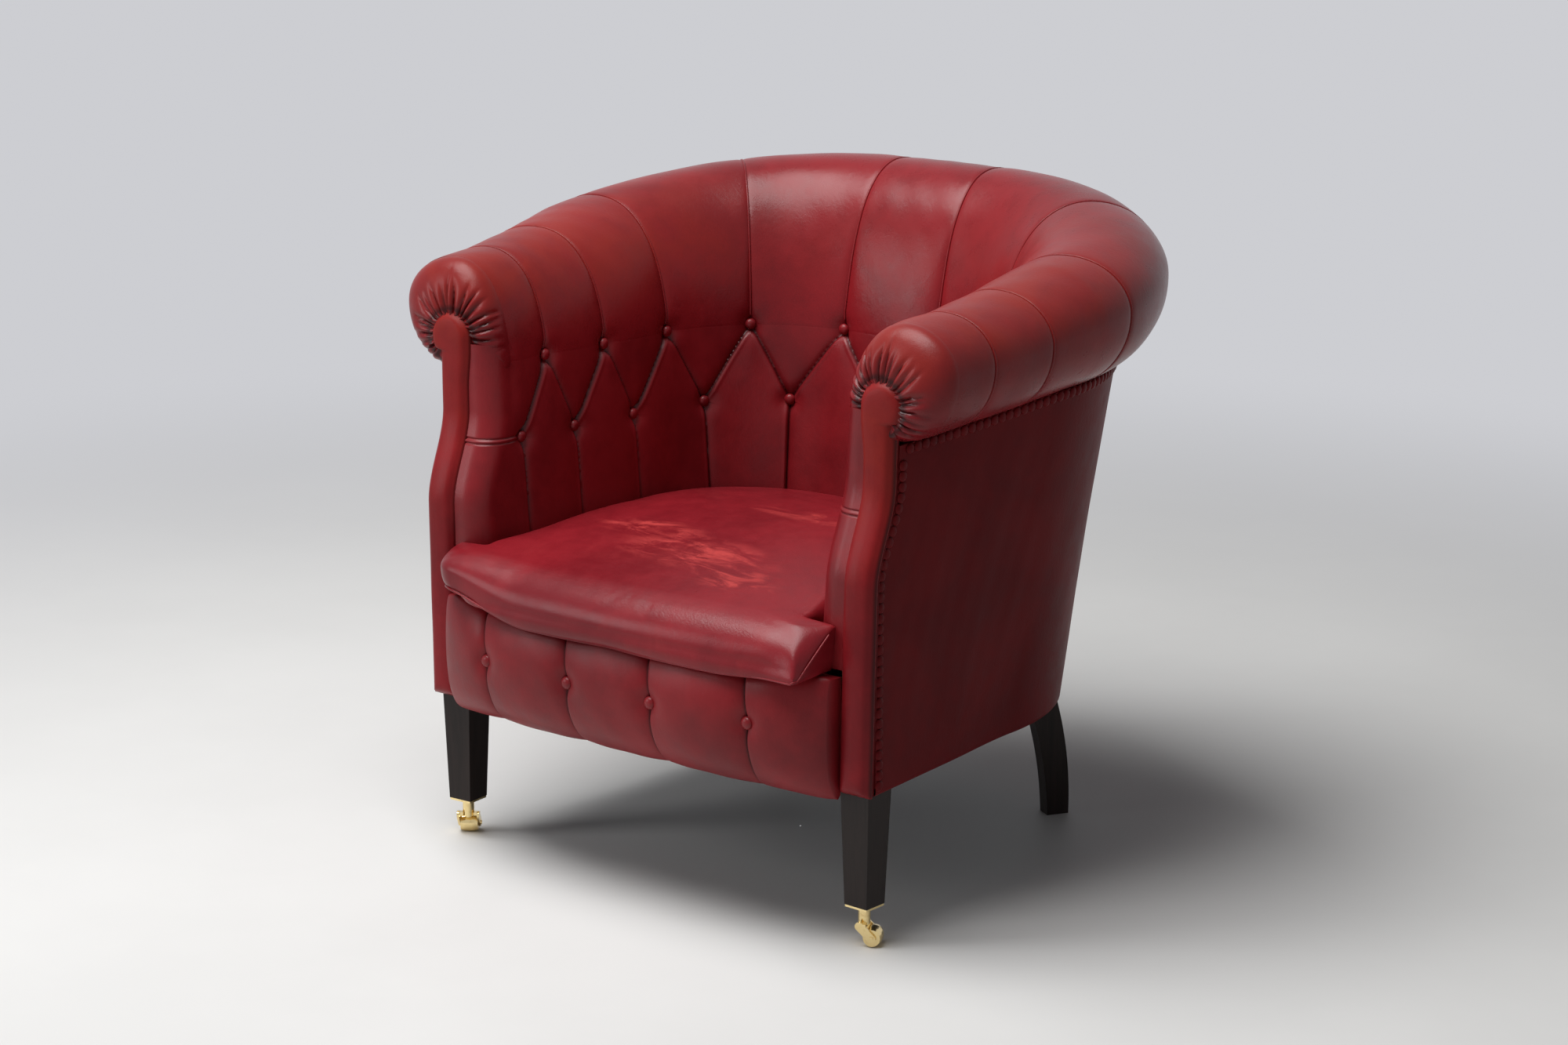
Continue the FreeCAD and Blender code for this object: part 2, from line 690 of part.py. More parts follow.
def rear_leg():
    """Sabre rear leg, swept back along the line of the corner, cut flat at the floor."""
    t = REAR_LEG_STATION
    foot_in = REAR_FOOT_OUT - REAR_FOOT_LENGTH / 2.0
    foot_out = REAR_FOOT_OUT + REAR_FOOT_LENGTH / 2.0
    top_in = REAR_TOP_OUT - REAR_TOP_LENGTH / 2.0
    top_out = REAR_TOP_OUT + REAR_TOP_LENGTH / 2.0
    mid_z = RAIL_FOOT_Z / 2.0
    crest, outward = station(t)
    along = Vector(-outward.y, outward.x, 0) * (REAR_LEG_THICKNESS / 2.0)

    def corner(n, z):
        return point(t, n, z) - along

    outer_mid = (foot_out + top_out) / 2.0 + REAR_SWEEP
    inner_mid = (foot_in + top_in) / 2.0 + REAR_SWEEP
    wire = edges_wire([
        (corner(foot_in, 0), corner(foot_out, 0)),
        (corner(foot_out, 0), corner(outer_mid, mid_z), corner(top_out, RAIL_FOOT_Z)),
        (corner(top_out, RAIL_FOOT_Z), corner(top_in, RAIL_FOOT_Z)),
        (corner(top_in, RAIL_FOOT_Z), corner(inner_mid, mid_z), corner(foot_in, 0)),
    ])
    return Part.Face(wire).extrude(along * 2.0)


# Seat


def front_rail(leg):
    """Straight seat rail between the front legs."""
    half = LEG_HALF_SPACING
    first = FACE_Y + FACING_THICKNESS + SEAT_GAP
    rail = box(-half, half, first, first + RAIL_THICKNESS, RAIL_FOOT_Z, RAIL_TOP_Z)
    return rail.cut(leg).cut(mirrored(leg, "right"))


def corner_blocks():
    """Glued blocks in the two front corners of the seat frame."""
    rail_y = FACE_Y + FACING_THICKNESS + SEAT_GAP + RAIL_THICKNESS
    t = ROLL_FRONT
    inner = point(t, rail_n(t) - RAIL_THICKNESS, 0).x
    wire = polygon([
        Vector(inner, rail_y, RAIL_FOOT_Z),
        Vector(inner - BLOCK_SIDE, rail_y, RAIL_FOOT_Z),
        Vector(inner, rail_y + BLOCK_SIDE, RAIL_FOOT_Z),
    ])
    block = Part.Face(wire).extrude(Vector(0, 0, BLOCK_TOP_Z - RAIL_FOOT_Z))
    return [block, mirrored(block, "right")]


def padding_foot(t):
    """Distance of the edge of the seat deck from the crest, just inside the padding's foot."""
    return inner_n(t, INNER_FOOT_Z) - SEAT_GAP


def cover_edge(t):
    """Distance of the edge of the dust cover from the crest."""
    return rail_n(t) - FRAME_CLEARANCE


def tub_outline(n_at, front_y, z):
    """D-shaped outline that follows the tub at distance n_at and is cut straight across in front."""
    def spot(t):
        return point(t, n_at(t), z)

    corner = spot(2.0)
    arm = spot(3.0)
    share = (front_y - corner.y) / (arm.y - corner.y)
    front = Vector(corner.x + (arm.x - corner.x) * share, front_y, z)
    back = spot(1.0)

    def flip(p):
        return Vector(-p.x, p.y, p.z)

    return edges_wire([
        (flip(front), front),
        (front, corner),
        (corner, spot(1.5), back),
        (back, flip(back)),
        (flip(back), flip(spot(1.5)), flip(corner)),
        (flip(corner), flip(front)),
    ])


def sheet(n_at, bottom, top):
    """Flat sheet or pad that fills the tub's outline behind the facings."""
    front_y = FACE_Y + FACING_THICKNESS + SEAT_GAP
    return Part.Face(tub_outline(n_at, front_y, bottom)).extrude(Vector(0, 0, top - bottom))


def spring_span(x):
    """Front and back ends of the zigzag spring at x, over the middle of the front and back rails."""
    front = FACE_Y + FACING_THICKNESS + SEAT_GAP + RAIL_THICKNESS / 2.0
    radius = CREST_RADIUS + rail_n(1.0) - RAIL_THICKNESS / 2.0
    reach = max(abs(x) - BACK_FLAT_HALF, 0.0)
    return front, CORNER_Y + math.sqrt(radius * radius - reach * reach)


def zigzag_spring(x):
    """Flat zigzag spring: straight bars joined by half turns."""
    half = SPRING_WIDTH / 2.0
    front, back = spring_span(x)
    loops = int(round((back - front) / SPRING_PITCH))
    turn = (back - front) / loops / 2.0
    runs = [(Vector(x - half, front, SPRING_Z), Vector(x + half - turn, front, SPRING_Z))]
    side = 1.0
    for k in range(loops):
        y = front + 2 * turn * k
        start = Vector(x + side * (half - turn), y, SPRING_Z)
        middle = Vector(x + side * half, y + turn, SPRING_Z)
        end = Vector(x + side * (half - turn), y + 2 * turn, SPRING_Z)
        runs.append((start, middle, end))
        reach = half if k == loops - 1 else half - turn
        runs.append((end, Vector(x - side * reach, y + 2 * turn, SPRING_Z)))
        side = -side
    path = edges_wire(runs)
    circle = Part.Wire(Part.makeCircle(SPRING_WIRE / 2.0, runs[0][0], Vector(1, 0, 0)))
    return path.makePipeShell([circle], True, False)


def spring_places():
    """Sideways places of the springs."""
    return [SPRING_SPACING * (k - (SPRING_COUNT - 1) / 2.0) for k in range(SPRING_COUNT)]


def spring_clips():
    """Clips on the rails, each cut for the end bar of its spring."""
    clips = []
    half = CLIP_SIDE / 2.0
    for x in spring_places():
        for y in spring_span(x):
            clip = box(x - half, x + half, y - half, y + half, RAIL_TOP_Z, SPRING_Z)
            start = Vector(x - CLIP_SIDE, y, SPRING_Z)
            bar = Part.makeCylinder(SPRING_WIRE / 2.0, CLIP_SIDE * 2, start, Vector(1, 0, 0))
            clips.append(clip.cut(bar))
    return clips


# Loose cushion


def cushion_outline(inset, z):
    """Plan of the loose cushion: a bowed lip between the facings, a notch, and a rounded back."""
    def spot(t):
        return point(t, inner_n(t, INNER_FOOT_Z) - CUSHION_CLEARANCE - TUFT_SWELL - inset, z)

    lip = CUSHION_LIP - inset
    half = CUSHION_LIP_HALF - inset
    lip_y = FACE_Y - lip + CUSHION_LIP_BOW
    notch_y = FACE_Y + CUSHION_NOTCH_DEPTH - inset
    corner = spot(2.0)
    arm = spot(3.0)
    share = (notch_y - corner.y) / (arm.y - corner.y)
    notch = Vector(corner.x + (arm.x - corner.x) * share, notch_y, z)
    tip = Vector(half, lip_y, z)
    heel = Vector(half, notch_y, z)
    back = spot(1.0)

    def flip(p):
        return Vector(-p.x, p.y, p.z)

    return edges_wire([
        (flip(tip), Vector(0, FACE_Y - lip, z), tip),
        (tip, heel),
        (heel, notch),
        (notch, corner),
        (corner, spot(1.5), back),
        (back, flip(back)),
        (flip(back), flip(spot(1.5)), flip(corner)),
        (flip(corner), flip(notch)),
        (flip(notch), flip(heel)),
        (flip(heel), flip(tip)),
    ])


def cushion():
    """Loose seat cushion with a crown, drawn-in sides and a rounded front lip."""
    low = DECK_TOP_Z + SEAT_GAP
    high = CUSHION_CROWN_Z + TRIM_MARGIN
    eased = CUSHION_DRAW_IN * CUSHION_EASE
    insets = (CUSHION_DRAW_IN, eased, 0.0, eased, CUSHION_DRAW_IN)
    body = loft([
        cushion_outline(inset, low + (high - low) * k / (len(insets) - 1.0))
        for k, inset in enumerate(insets)
    ])
    front_y = FACE_Y - CUSHION_LIP
    back_y = point(0, inner_n(0, INNER_FOOT_Z), 0).y
    half = CUSHION_LIP_HALF + TRIM_MARGIN
    crown_y = (front_y + 2 * back_y) / 3.0
    heel = Vector(-half, front_y + CUSHION_HEEL_RADIUS, low)
    heel_bend = Vector(-half, front_y + CUSHION_HEEL_EASE, low + CUSHION_HEEL_EASE)
    nose = Vector(-half, front_y, low + (CUSHION_NOSE_Z - low) * CUSHION_NOSE_SHARE)
    nose_bend = Vector(-half, front_y + CUSHION_NOSE_EASE, CUSHION_NOSE_Z - CUSHION_NOSE_EASE)
    shoulder = Vector(-half, front_y + CUSHION_NOSE_RADIUS, CUSHION_NOSE_Z)
    crown = Vector(-half, crown_y, CUSHION_CROWN_Z)
    rear = Vector(-half, back_y, CUSHION_BACK_Z)
    sole = Vector(-half, back_y, low)
    side_view = edges_wire([
        (heel, heel_bend, nose),
        (nose, nose_bend, shoulder),
        (shoulder, (shoulder + crown) * 0.5 + Vector(0, 0, CUSHION_FRONT_RISE), crown),
        (crown, (crown + rear) * 0.5 + Vector(0, 0, CUSHION_REAR_RISE), rear),
        (rear, sole),
        (sole, heel),
    ])
    side_slab = Part.Face(side_view).extrude(Vector(2 * half, 0, 0))
    left_top = Vector(half, front_y, CUSHION_SIDE_Z)
    right_top = Vector(-half, front_y, CUSHION_SIDE_Z)
    front_view = edges_wire([
        (Vector(-half, front_y, low), Vector(half, front_y, low)),
        (Vector(half, front_y, low), left_top),
        (left_top, Vector(0, front_y, CUSHION_CROWN_Z), right_top),
        (right_top, Vector(-half, front_y, low)),
    ])
    front_slab = Part.Face(front_view).extrude(Vector(0, back_y - front_y, 0))
    return body.common(side_slab).common(front_slab)


# Front border


def border_belly(x):
    """How far the border swells in front of the facings at sideways place x, and its dip."""
    share = abs(x) / BORDER_HALF
    belly = BORDER_BELLY - (BORDER_BELLY - BORDER_END_BELLY) * share ** 4
    if min(abs(abs(x) - b) for b in BORDER_BUTTONS) < 0.01:
        return belly - BORDER_DIP
    return belly


def border_wire(x):
    """Section of the front border at sideways place x."""
    belly = border_belly(x)
    back = FACE_Y + FACING_THICKNESS
    front = FACE_Y - belly
    wide_z = BORDER_BUTTON_Z + BORDER_WIDE_RISE
    foot = Vector(x, back - BORDER_TUCK, BORDER_FOOT_Z)
    wide = Vector(x, front, wide_z)
    top = Vector(x, FACE_Y - belly * BORDER_TOP_SHARE, BORDER_TOP_Z)
    low_y, low_z = BORDER_LOW_CURVE
    high_y, high_z = BORDER_HIGH_CURVE
    low_mid = Vector(x, front + (foot.y - front) * low_y, BORDER_FOOT_Z + (wide_z - BORDER_FOOT_Z) * low_z)
    high_mid = Vector(x, front + (top.y - front) * high_y, wide_z + (BORDER_TOP_Z - wide_z) * high_z)
    back_top = Vector(x, back, BORDER_TOP_Z)
    back_foot = Vector(x, back, BORDER_FOOT_Z + BORDER_TUCK)
    return edges_wire([
        (foot, low_mid, wide),
        (wide, high_mid, top),
        (top, back_top),
        (back_top, back_foot),
        (back_foot, foot),
    ])


def front_border():
    """Buttoned border under the cushion, drawn in at each pleat."""
    inner, outer = BORDER_BUTTONS
    return chain(both_ways([inner, outer, BORDER_HALF]), border_wire)


# Buttons and nails


def dome(place, outward, radius, height):
    """Low dome on a flat base, for a covered button or nail."""
    rise = height * SHOULDER_HEIGHT
    wide = radius * SHOULDER_SPREAD
    shoulder = Part.makeCone(radius, wide, rise, place, outward)
    cap = Part.makeCone(wide, radius * CROWN_SPREAD, height - rise, place + outward * rise, outward)
    return shoulder.fuse(cap)


def inside_places(stations, z):
    """Seat and direction of each covered button along a row of the inside padding."""
    places = []
    for t in stations:
        crest, outward = station(t)
        places.append((point(t, inner_n(t, z) + TUFT_DIP - BUTTON_PROUD, z), outward * -1.0))
    return places


def border_places():
    """Seat and direction of each covered button of the front border."""
    places = []
    for x in both_ways(BORDER_BUTTONS):
        seat = Vector(x, FACE_Y - border_belly(x) + BUTTON_PROUD, BORDER_BUTTON_Z)
        places.append((seat, Vector(0, -1, 0)))
    return places


def buttons(places):
    """Covered buttons at their places."""
    return [dome(place, direction, BUTTON_RADIUS, BUTTON_HEIGHT) for place, direction in places]


def dimples(places):
    """Hollows in the leather that the buttons sit in."""
    hollows = []
    for place, direction in places:
        hollows.append(Part.makeCylinder(BUTTON_RADIUS + SEAT_GAP, DIMPLE_REACH, place, direction))
    return Part.makeCompound(hollows)


def both_ways(values):
    """Stations on both sides of the back, in order."""
    return sorted(set([-v for v in values] + list(values)))


def panel_outward(t):
    """Outward direction square to the sloping outside leather."""
    crest, outward = station(t)
    rise = at(NAIL_Z, t) - PANEL_FOOT_Z
    lean = at(PANEL_OUT, t) - at(PANEL_FOOT_OUT, t)
    direction = outward * rise - Vector(0, 0, lean)
    return direction.normalize()


def roll_nails():
    """Leather-covered nails under the roll, evenly spaced round the tub."""
    nails = []
    t = -NAIL_ROW_FRONT
    while t < NAIL_ROW_FRONT:
        z = at(NAIL_Z, t) - HEM - NAIL_DROP
        outward = panel_outward(t)
        place = point(t, panel_n(t, z), z) + outward * NAIL_LIFT
        nails.append(dome(place, outward, NAIL_RADIUS, NAIL_HEIGHT))
        run = (point(t + STATION_STEP, panel_n(t, z), z) - point(t, panel_n(t, z), z)).Length
        t = t + STATION_STEP * NAIL_PITCH / run
    return nails


def front_nails(side):
    """Leather-covered nails down the front edge of the outside leather."""
    nails = []
    count = int((NAIL_Z[-1] - NAIL_DROP - 2 * NAIL_PITCH - PANEL_FOOT_Z - PANEL_TUCK) / NAIL_PITCH)
    trim = front_line(NAIL_SETBACK)
    crest, direction = station(3.0)
    for k in range(count + 1):
        z = PANEL_FOOT_Z + PANEL_TUCK + NAIL_RADIUS + NAIL_PITCH * k
        share = min(max((z - BEND_LOW_Z) / (BEND_HIGH_Z - BEND_LOW_Z), 0.0), 1.0)
        y = trim[0].y + FACING_SETBACK * (share * share * (3.0 - 2.0 * share))
        t = 2.0 + (y - ARM_Y) / (FACE_Y + ARM_FRONT_DEPTH - ARM_Y)
        surface = point(t, panel_n(t, z), z)
        outward = panel_outward(t)
        nails.append(mirrored(dome(surface + outward * NAIL_LIFT, outward, NAIL_RADIUS, NAIL_HEIGHT), side))
    return nails


# Castors, made at the left leg with the wheel trailing to +X, then turned and placed


def castor_place(shape, side):
    """Turn a castor piece to its rest angle and move it under its leg."""
    placed = shape.copy()
    placed.rotate(Vector(0, 0, 0), Vector(0, 0, 1), CASTOR_ANGLES[side])
    placed.translate(Vector(SIDES[side] * LEG_HALF_SPACING, FACE_Y + LEG_DEPTH, 0))
    return placed


def castor_plate(side):
    """Square brass plate under the leg, drilled for its screws and riveted to the pin."""
    half = PLATE_SIDE / 2.0
    top = FRONT_LEG_FOOT_Z
    plate = box(-half, half, -half, half, top - PLATE_THICKNESS, top)
    plate = plate.cut(Part.makeCylinder(PIN_RADIUS, PLATE_THICKNESS, Vector(0, 0, top - PLATE_THICKNESS)))
    for x, y in screw_places():
        plate = plate.cut(screw(x, y))
    plate.rotate(Vector(0, 0, 0), Vector(0, 0, 1), LEG_TURN * SIDES[side])
    plate.translate(Vector(SIDES[side] * LEG_HALF_SPACING, FACE_Y + LEG_DEPTH, 0))
    return plate


def screw_places():
    """Corners of the castor plate that hold screws."""
    reach = PLATE_SIDE / 2.0 - PLATE_SCREW_INSET
    return [(-reach, -reach), (reach, -reach), (reach, reach), (-reach, reach)]


def screw(x, y):
    """Countersunk screw up through the plate into the leg."""
    low = FRONT_LEG_FOOT_Z - PLATE_THICKNESS
    head = Part.makeCone(PLATE_SCREW_RADIUS, PLATE_SCREW_RADIUS / 2.0, PLATE_THICKNESS, Vector(x, y, low))
    shank = Part.makeCylinder(PLATE_SCREW_RADIUS / 2.0, PLATE_SCREW_LENGTH, Vector(x, y, low))
    return head.fuse(shank)


def plate_screws(side):
    """The four screws of one plate, where they sit in the leg."""
    screws = []
    for x, y in screw_places():
        piece = screw(x, y)
        piece.rotate(Vector(0, 0, 0), Vector(0, 0, 1), LEG_TURN * SIDES[side])
        piece.translate(Vector(SIDES[side] * LEG_HALF_SPACING, FACE_Y + LEG_DEPTH, 0))
        screws.append(piece)
    return screws


def castor_pin():
    """Upright pin that the fork swivels on, with a peened foot."""
    top = FRONT_LEG_FOOT_Z
    foot = BOSS_FOOT_Z - PIN_HEAD_HEIGHT
    shank = Part.makeCylinder(PIN_RADIUS, top - foot, Vector(0, 0, foot))
    head = Part.makeCylinder(PIN_HEAD_RADIUS, PIN_HEAD_HEIGHT - FORK_GAP, Vector(0, 0, foot))
    return shank.fuse(head).removeSplitter()


def castor_fork():
    """Brass fork: a boss round the pin, a bridge, and two slanting cheeks."""
    top = FRONT_LEG_FOOT_Z - PLATE_THICKNESS - FORK_GAP
    boss = Part.makeCylinder(BOSS_RADIUS, top - BOSS_FOOT_Z, Vector(0, 0, BOSS_FOOT_Z))
    inner = WHEEL_WIDTH / 2.0 + FORK_GAP
    outer = inner + CHEEK_THICKNESS
    heel_x = TRAIL - CHEEK_RUN
    heel_z = WHEEL_RADIUS + CHEEK_RUN
    bridge = box(heel_x, PIN_HEAD_RADIUS, -outer, outer, BOSS_FOOT_Z, BOSS_FOOT_Z + BRIDGE_HEIGHT)
    fork = boss.fuse(bridge)
    slant = math.sqrt(0.5) * CHEEK_RADIUS
    for y in (-outer, inner):
        across = Vector(0, 1, 0)
        axle_end = Part.makeCylinder(CHEEK_RADIUS, CHEEK_THICKNESS, Vector(TRAIL, y, WHEEL_RADIUS), across)
        heel_end = Part.makeCylinder(CHEEK_RADIUS, CHEEK_THICKNESS, Vector(heel_x, y, heel_z), across)
        bar = Part.Face(polygon([
            Vector(TRAIL + slant, y, WHEEL_RADIUS + slant),
            Vector(TRAIL - slant, y, WHEEL_RADIUS - slant),
            Vector(heel_x - slant, y, heel_z - slant),
            Vector(heel_x + slant, y, heel_z + slant),
        ])).extrude(Vector(0, CHEEK_THICKNESS, 0))
        fork = fork.fuse(axle_end.fuse(heel_end).fuse(bar))
    bore = Part.makeCylinder(PIN_RADIUS + RUNNING_FIT, top, Vector(0, 0, 0))
    axle_start = Vector(TRAIL, -outer, WHEEL_RADIUS)
    axle_hole = Part.makeCylinder(AXLE_RADIUS, 2 * outer, axle_start, Vector(0, 1, 0))
    return fork.removeSplitter().cut(bore).cut(axle_hole)


def castor_axle():
    """Riveted axle through both cheeks."""
    outer = WHEEL_WIDTH / 2.0 + FORK_GAP + CHEEK_THICKNESS
    start = Vector(TRAIL, -outer - AXLE_HEAD_HEIGHT, WHEEL_RADIUS)
    shaft = Part.makeCylinder(AXLE_RADIUS, 2 * (outer + AXLE_HEAD_HEIGHT), start, Vector(0, 1, 0))
    for y in (-outer - AXLE_HEAD_HEIGHT, outer):
        place = Vector(TRAIL, y, WHEEL_RADIUS)
        shaft = shaft.fuse(Part.makeCylinder(AXLE_HEAD_RADIUS, AXLE_HEAD_HEIGHT, place, Vector(0, 1, 0)))
    return shaft.removeSplitter()


def castor_wheel():
    """Solid brass wheel with a slightly crowned tread, bored for the axle."""
    half = WHEEL_WIDTH / 2.0
    flat = WHEEL_TREAD / 2.0
    rim = WHEEL_RADIUS - WHEEL_CROWN
    bore = AXLE_RADIUS + RUNNING_FIT
    profile = polygon([
        Vector(bore, -half, 0), Vector(rim, -half, 0), Vector(WHEEL_RADIUS, -flat, 0),
        Vector(WHEEL_RADIUS, flat, 0), Vector(rim, half, 0), Vector(bore, half, 0),
    ])
    wheel = Part.Face(profile).revolve(Vector(0, 0, 0), Vector(0, 1, 0), 360)
    wheel.translate(Vector(TRAIL, 0, WHEEL_RADIUS))
    return wheel


# Build every piece

facing_left = facing()
leg_left = front_leg()
post_left = front_post()
top_places = inside_places(both_ways(SEAMS), TOP_BUTTON_Z)
low_places = inside_places(both_ways(LOWER_BUTTONS), LOWER_BUTTON_Z)
inside_hollows = dimples(top_places + low_places)
tack_rail = ring(-ROLL_FRONT, ROLL_FRONT, tack_rail_wire)

for side in SIDES:
    save("facing_" + side, mirrored(facing_left, side))
    save("facing_piping_" + side, mirrored(facing_piping(), side))
    save("front_post_" + side, mirrored(post_left, side))
    save("roll_end_" + side, mirrored(roll_end(facing_left), side))
    save("front_leg_" + side, mirrored(leg_left, side).cut(Part.makeCompound(plate_screws(side))))
    save("rear_leg_" + side, mirrored(rear_leg(), side))
    save("castor_plate_" + side, castor_plate(side))
    save("castor_pin_" + side, castor_place(castor_pin(), side))
    save("castor_fork_" + side, castor_place(castor_fork(), side))
    save("castor_axle_" + side, castor_place(castor_axle(), side))
    save("castor_wheel_" + side, castor_place(castor_wheel(), side))

save("castor_screws", plate_screws("left") + plate_screws("right"))

joins = [-ROLL_FRONT] + both_ways(SEAMS) + [ROLL_FRONT]
for k in range(len(joins) - 1):
    save("roll_panel_%02d" % (k + 1), roll_panel(joins[k], joins[k + 1]).cut(inside_hollows))

# The arm padding stops behind the facings and closes round the posts
behind_facing = front_trim(FACING_THICKNESS + SEAT_GAP)
save("inside_back", pad_section(-SEAMS[1], SEAMS[1]).cut(inside_hollows))
for side in SIDES:
    arm = pad_section(SEAMS[1], PAD_FRONT).cut(behind_facing).cut(post_left)
    save("inside_arm_" + side, mirrored(arm, side).cut(inside_hollows))

behind_piping = front_trim(FACING_THICKNESS + 2 * PIPING_RADIUS + 2 * SEAT_GAP)
rear_left = rear_leg()
all_legs = Part.makeCompound([mirrored(leg, side) for leg in (leg_left, rear_left) for side in SIDES])
save("outside_back", ring(-OUTER_JOIN, OUTER_JOIN, panel_wire).cut(all_legs))
for side in SIDES:
    arm = ring(OUTER_JOIN, PAD_FRONT, panel_wire).cut(behind_piping).cut(all_legs)
    save("outside_arm_" + side, mirrored(arm, side))

save("nails", roll_nails() + front_nails("left") + front_nails("right"))
save("inside_buttons", buttons(top_places + low_places))
save("border_buttons", buttons(border_places()))
save("front_border", front_border().cut(dimples(border_places())))

posts = Part.makeCompound([post_left, mirrored(post_left, "right")])
side_rail = ring(OUTER_JOIN, PLACES[-1], rail_wire).cut(leg_left)
rails = Part.makeCompound([side_rail, mirrored(side_rail, "right")])
scroll_rail = ring(-ROLL_FRONT, ROLL_FRONT, scroll_rail_wire)
save("scroll_rail", scroll_rail.cut(posts))
save("tacking_rail", tack_rail.cut(posts))
save("back_seat_rail", ring(-OUTER_JOIN, OUTER_JOIN, rail_wire))
for side in SIDES:
    save("side_seat_rail_" + side, mirrored(side_rail, side))
save("front_seat_rail", front_rail(leg_left).cut(rails))
save("stiles", [stile(t).cut(tack_rail) for t in both_ways(STILES)])
save("corner_blocks", [block.cut(rails).cut(all_legs) for block in corner_blocks()])
save("back_webbing", [web_strip(t).cut(scroll_rail).cut(tack_rail) for t in both_ways(LOWER_BUTTONS[:-1])])
save("seat_springs", [zigzag_spring(x) for x in spring_places()])
save("spring_clips", spring_clips())
save("spring_cover", sheet(padding_foot, DECK_BOTTOM_Z - COVER_THICKNESS, DECK_BOTTOM_Z))
save("seat_deck", sheet(padding_foot, DECK_BOTTOM_Z, DECK_TOP_Z))
save("dust_cover", sheet(cover_edge, RAIL_FOOT_Z - DUST_COVER_THICKNESS, RAIL_FOOT_Z).cut(all_legs))
save("seat_cushion", cushion())
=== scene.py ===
"""Looks of a buttoned leather tub armchair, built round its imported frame.

Lengths of the pieces are millimetres in the chair's own frame: +Z up, the sitter looks
along -Y, +X is the sitter's left. Finishes, camera and lamps are in metres, and meshes
are written in metres.
"""

import json
import logging
import math
from dataclasses import dataclass, field
from enum import Enum
from typing import Any, Callable, Sequence

import bmesh
import bpy
import numpy as np
from bpy.types import ID, Material, Mesh, NodeSocket, Object, World
from mathutils import Matrix, Vector
from mathutils.kdtree import KDTree

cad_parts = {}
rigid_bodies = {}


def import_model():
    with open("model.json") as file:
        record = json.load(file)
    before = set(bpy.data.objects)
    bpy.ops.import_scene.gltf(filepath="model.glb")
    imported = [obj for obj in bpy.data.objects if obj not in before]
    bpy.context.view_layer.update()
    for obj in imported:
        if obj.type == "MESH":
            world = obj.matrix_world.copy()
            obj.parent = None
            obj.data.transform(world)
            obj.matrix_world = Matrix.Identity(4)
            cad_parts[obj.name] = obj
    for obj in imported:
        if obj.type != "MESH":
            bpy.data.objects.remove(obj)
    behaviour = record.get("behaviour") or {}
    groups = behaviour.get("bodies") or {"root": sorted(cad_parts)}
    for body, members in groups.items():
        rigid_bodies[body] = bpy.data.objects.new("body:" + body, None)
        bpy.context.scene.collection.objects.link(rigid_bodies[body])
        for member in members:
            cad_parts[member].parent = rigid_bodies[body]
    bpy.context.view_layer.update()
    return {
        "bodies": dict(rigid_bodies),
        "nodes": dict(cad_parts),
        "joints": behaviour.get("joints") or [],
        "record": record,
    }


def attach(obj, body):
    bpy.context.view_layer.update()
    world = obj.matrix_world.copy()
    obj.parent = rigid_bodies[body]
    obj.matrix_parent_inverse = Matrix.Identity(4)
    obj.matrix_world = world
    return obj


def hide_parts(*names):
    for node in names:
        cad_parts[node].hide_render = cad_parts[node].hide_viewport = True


Array = np.ndarray
Colour = tuple[float, float, float]
MM = 0.001
QUARTER = np.pi / 2
FULL_TURN = 2 * np.pi
FAR = 1e9
UP = np.array([0.0, 0.0, 1.0])
FORWARD = np.array([0.0, -1.0, 0.0])
SHARP_ANGLE = math.radians(58.0)
# Name of the point attribute that carries painted shade along pleat lines, seams and gathers.
PAINTED_SHADE_ATTRIBUTE = "fold"
log = logging.getLogger("armchair")


class Side(Enum):
    """The two sides of the chair, as the sitter has them."""

    LEFT = 1.0
    RIGHT = -1.0

    @property
    def word(self) -> str:
        """Name of the side in a node's name."""
        return self.name.lower()


class Body(Enum):
    """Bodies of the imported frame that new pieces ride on."""

    FRAME = "frame"
    CUSHION = "seat_cushion"


# Shader workbench


def operator(operation: str, swapped: bool = False) -> Callable[["Value", Any], "Value"]:
    """Make an operator of shader values.

    Args:
        operation: Operation of the Math node that it adds.
        swapped: Whether the value comes second.

    Returns:
        The operator.
    """
    def apply(value: "Value", other: Any) -> "Value":
        """Add the Math node."""
        operands = (other, value) if swapped else (value, other)
        return value.bench.node("ShaderNodeMath", {"operation": operation}, *operands)

    return apply


class Value:
    """A shader value; an expression on it adds its Math nodes.

    Args:
        bench: The workbench whose tree holds the value.
        socket: Output socket that carries it.
    """

    __add__ = __radd__ = operator("ADD")
    __sub__, __rsub__ = operator("SUBTRACT"), operator("SUBTRACT", swapped=True)
    __mul__ = __rmul__ = operator("MULTIPLY")
    __truediv__, __rtruediv__ = operator("DIVIDE"), operator("DIVIDE", swapped=True)

    def __init__(self, bench: "Bench", socket: NodeSocket) -> None:
        """Keep the socket and its workbench."""
        self.bench = bench
        self.socket = socket

    def held(self) -> "Value":
        """The value held between 0 and 1."""
        settings = {"operation": "ADD", "use_clamp": True}
        return self.bench.node("ShaderNodeMath", settings, self, 0.0)

    def step(self, low: float, high: float) -> "Value":
        """Smooth rise from 0 at low to 1 at high."""
        settings = {"interpolation_type": "SMOOTHSTEP"}
        return self.bench.node("ShaderNodeMapRange", settings, self, low, high, 0.0, 1.0)


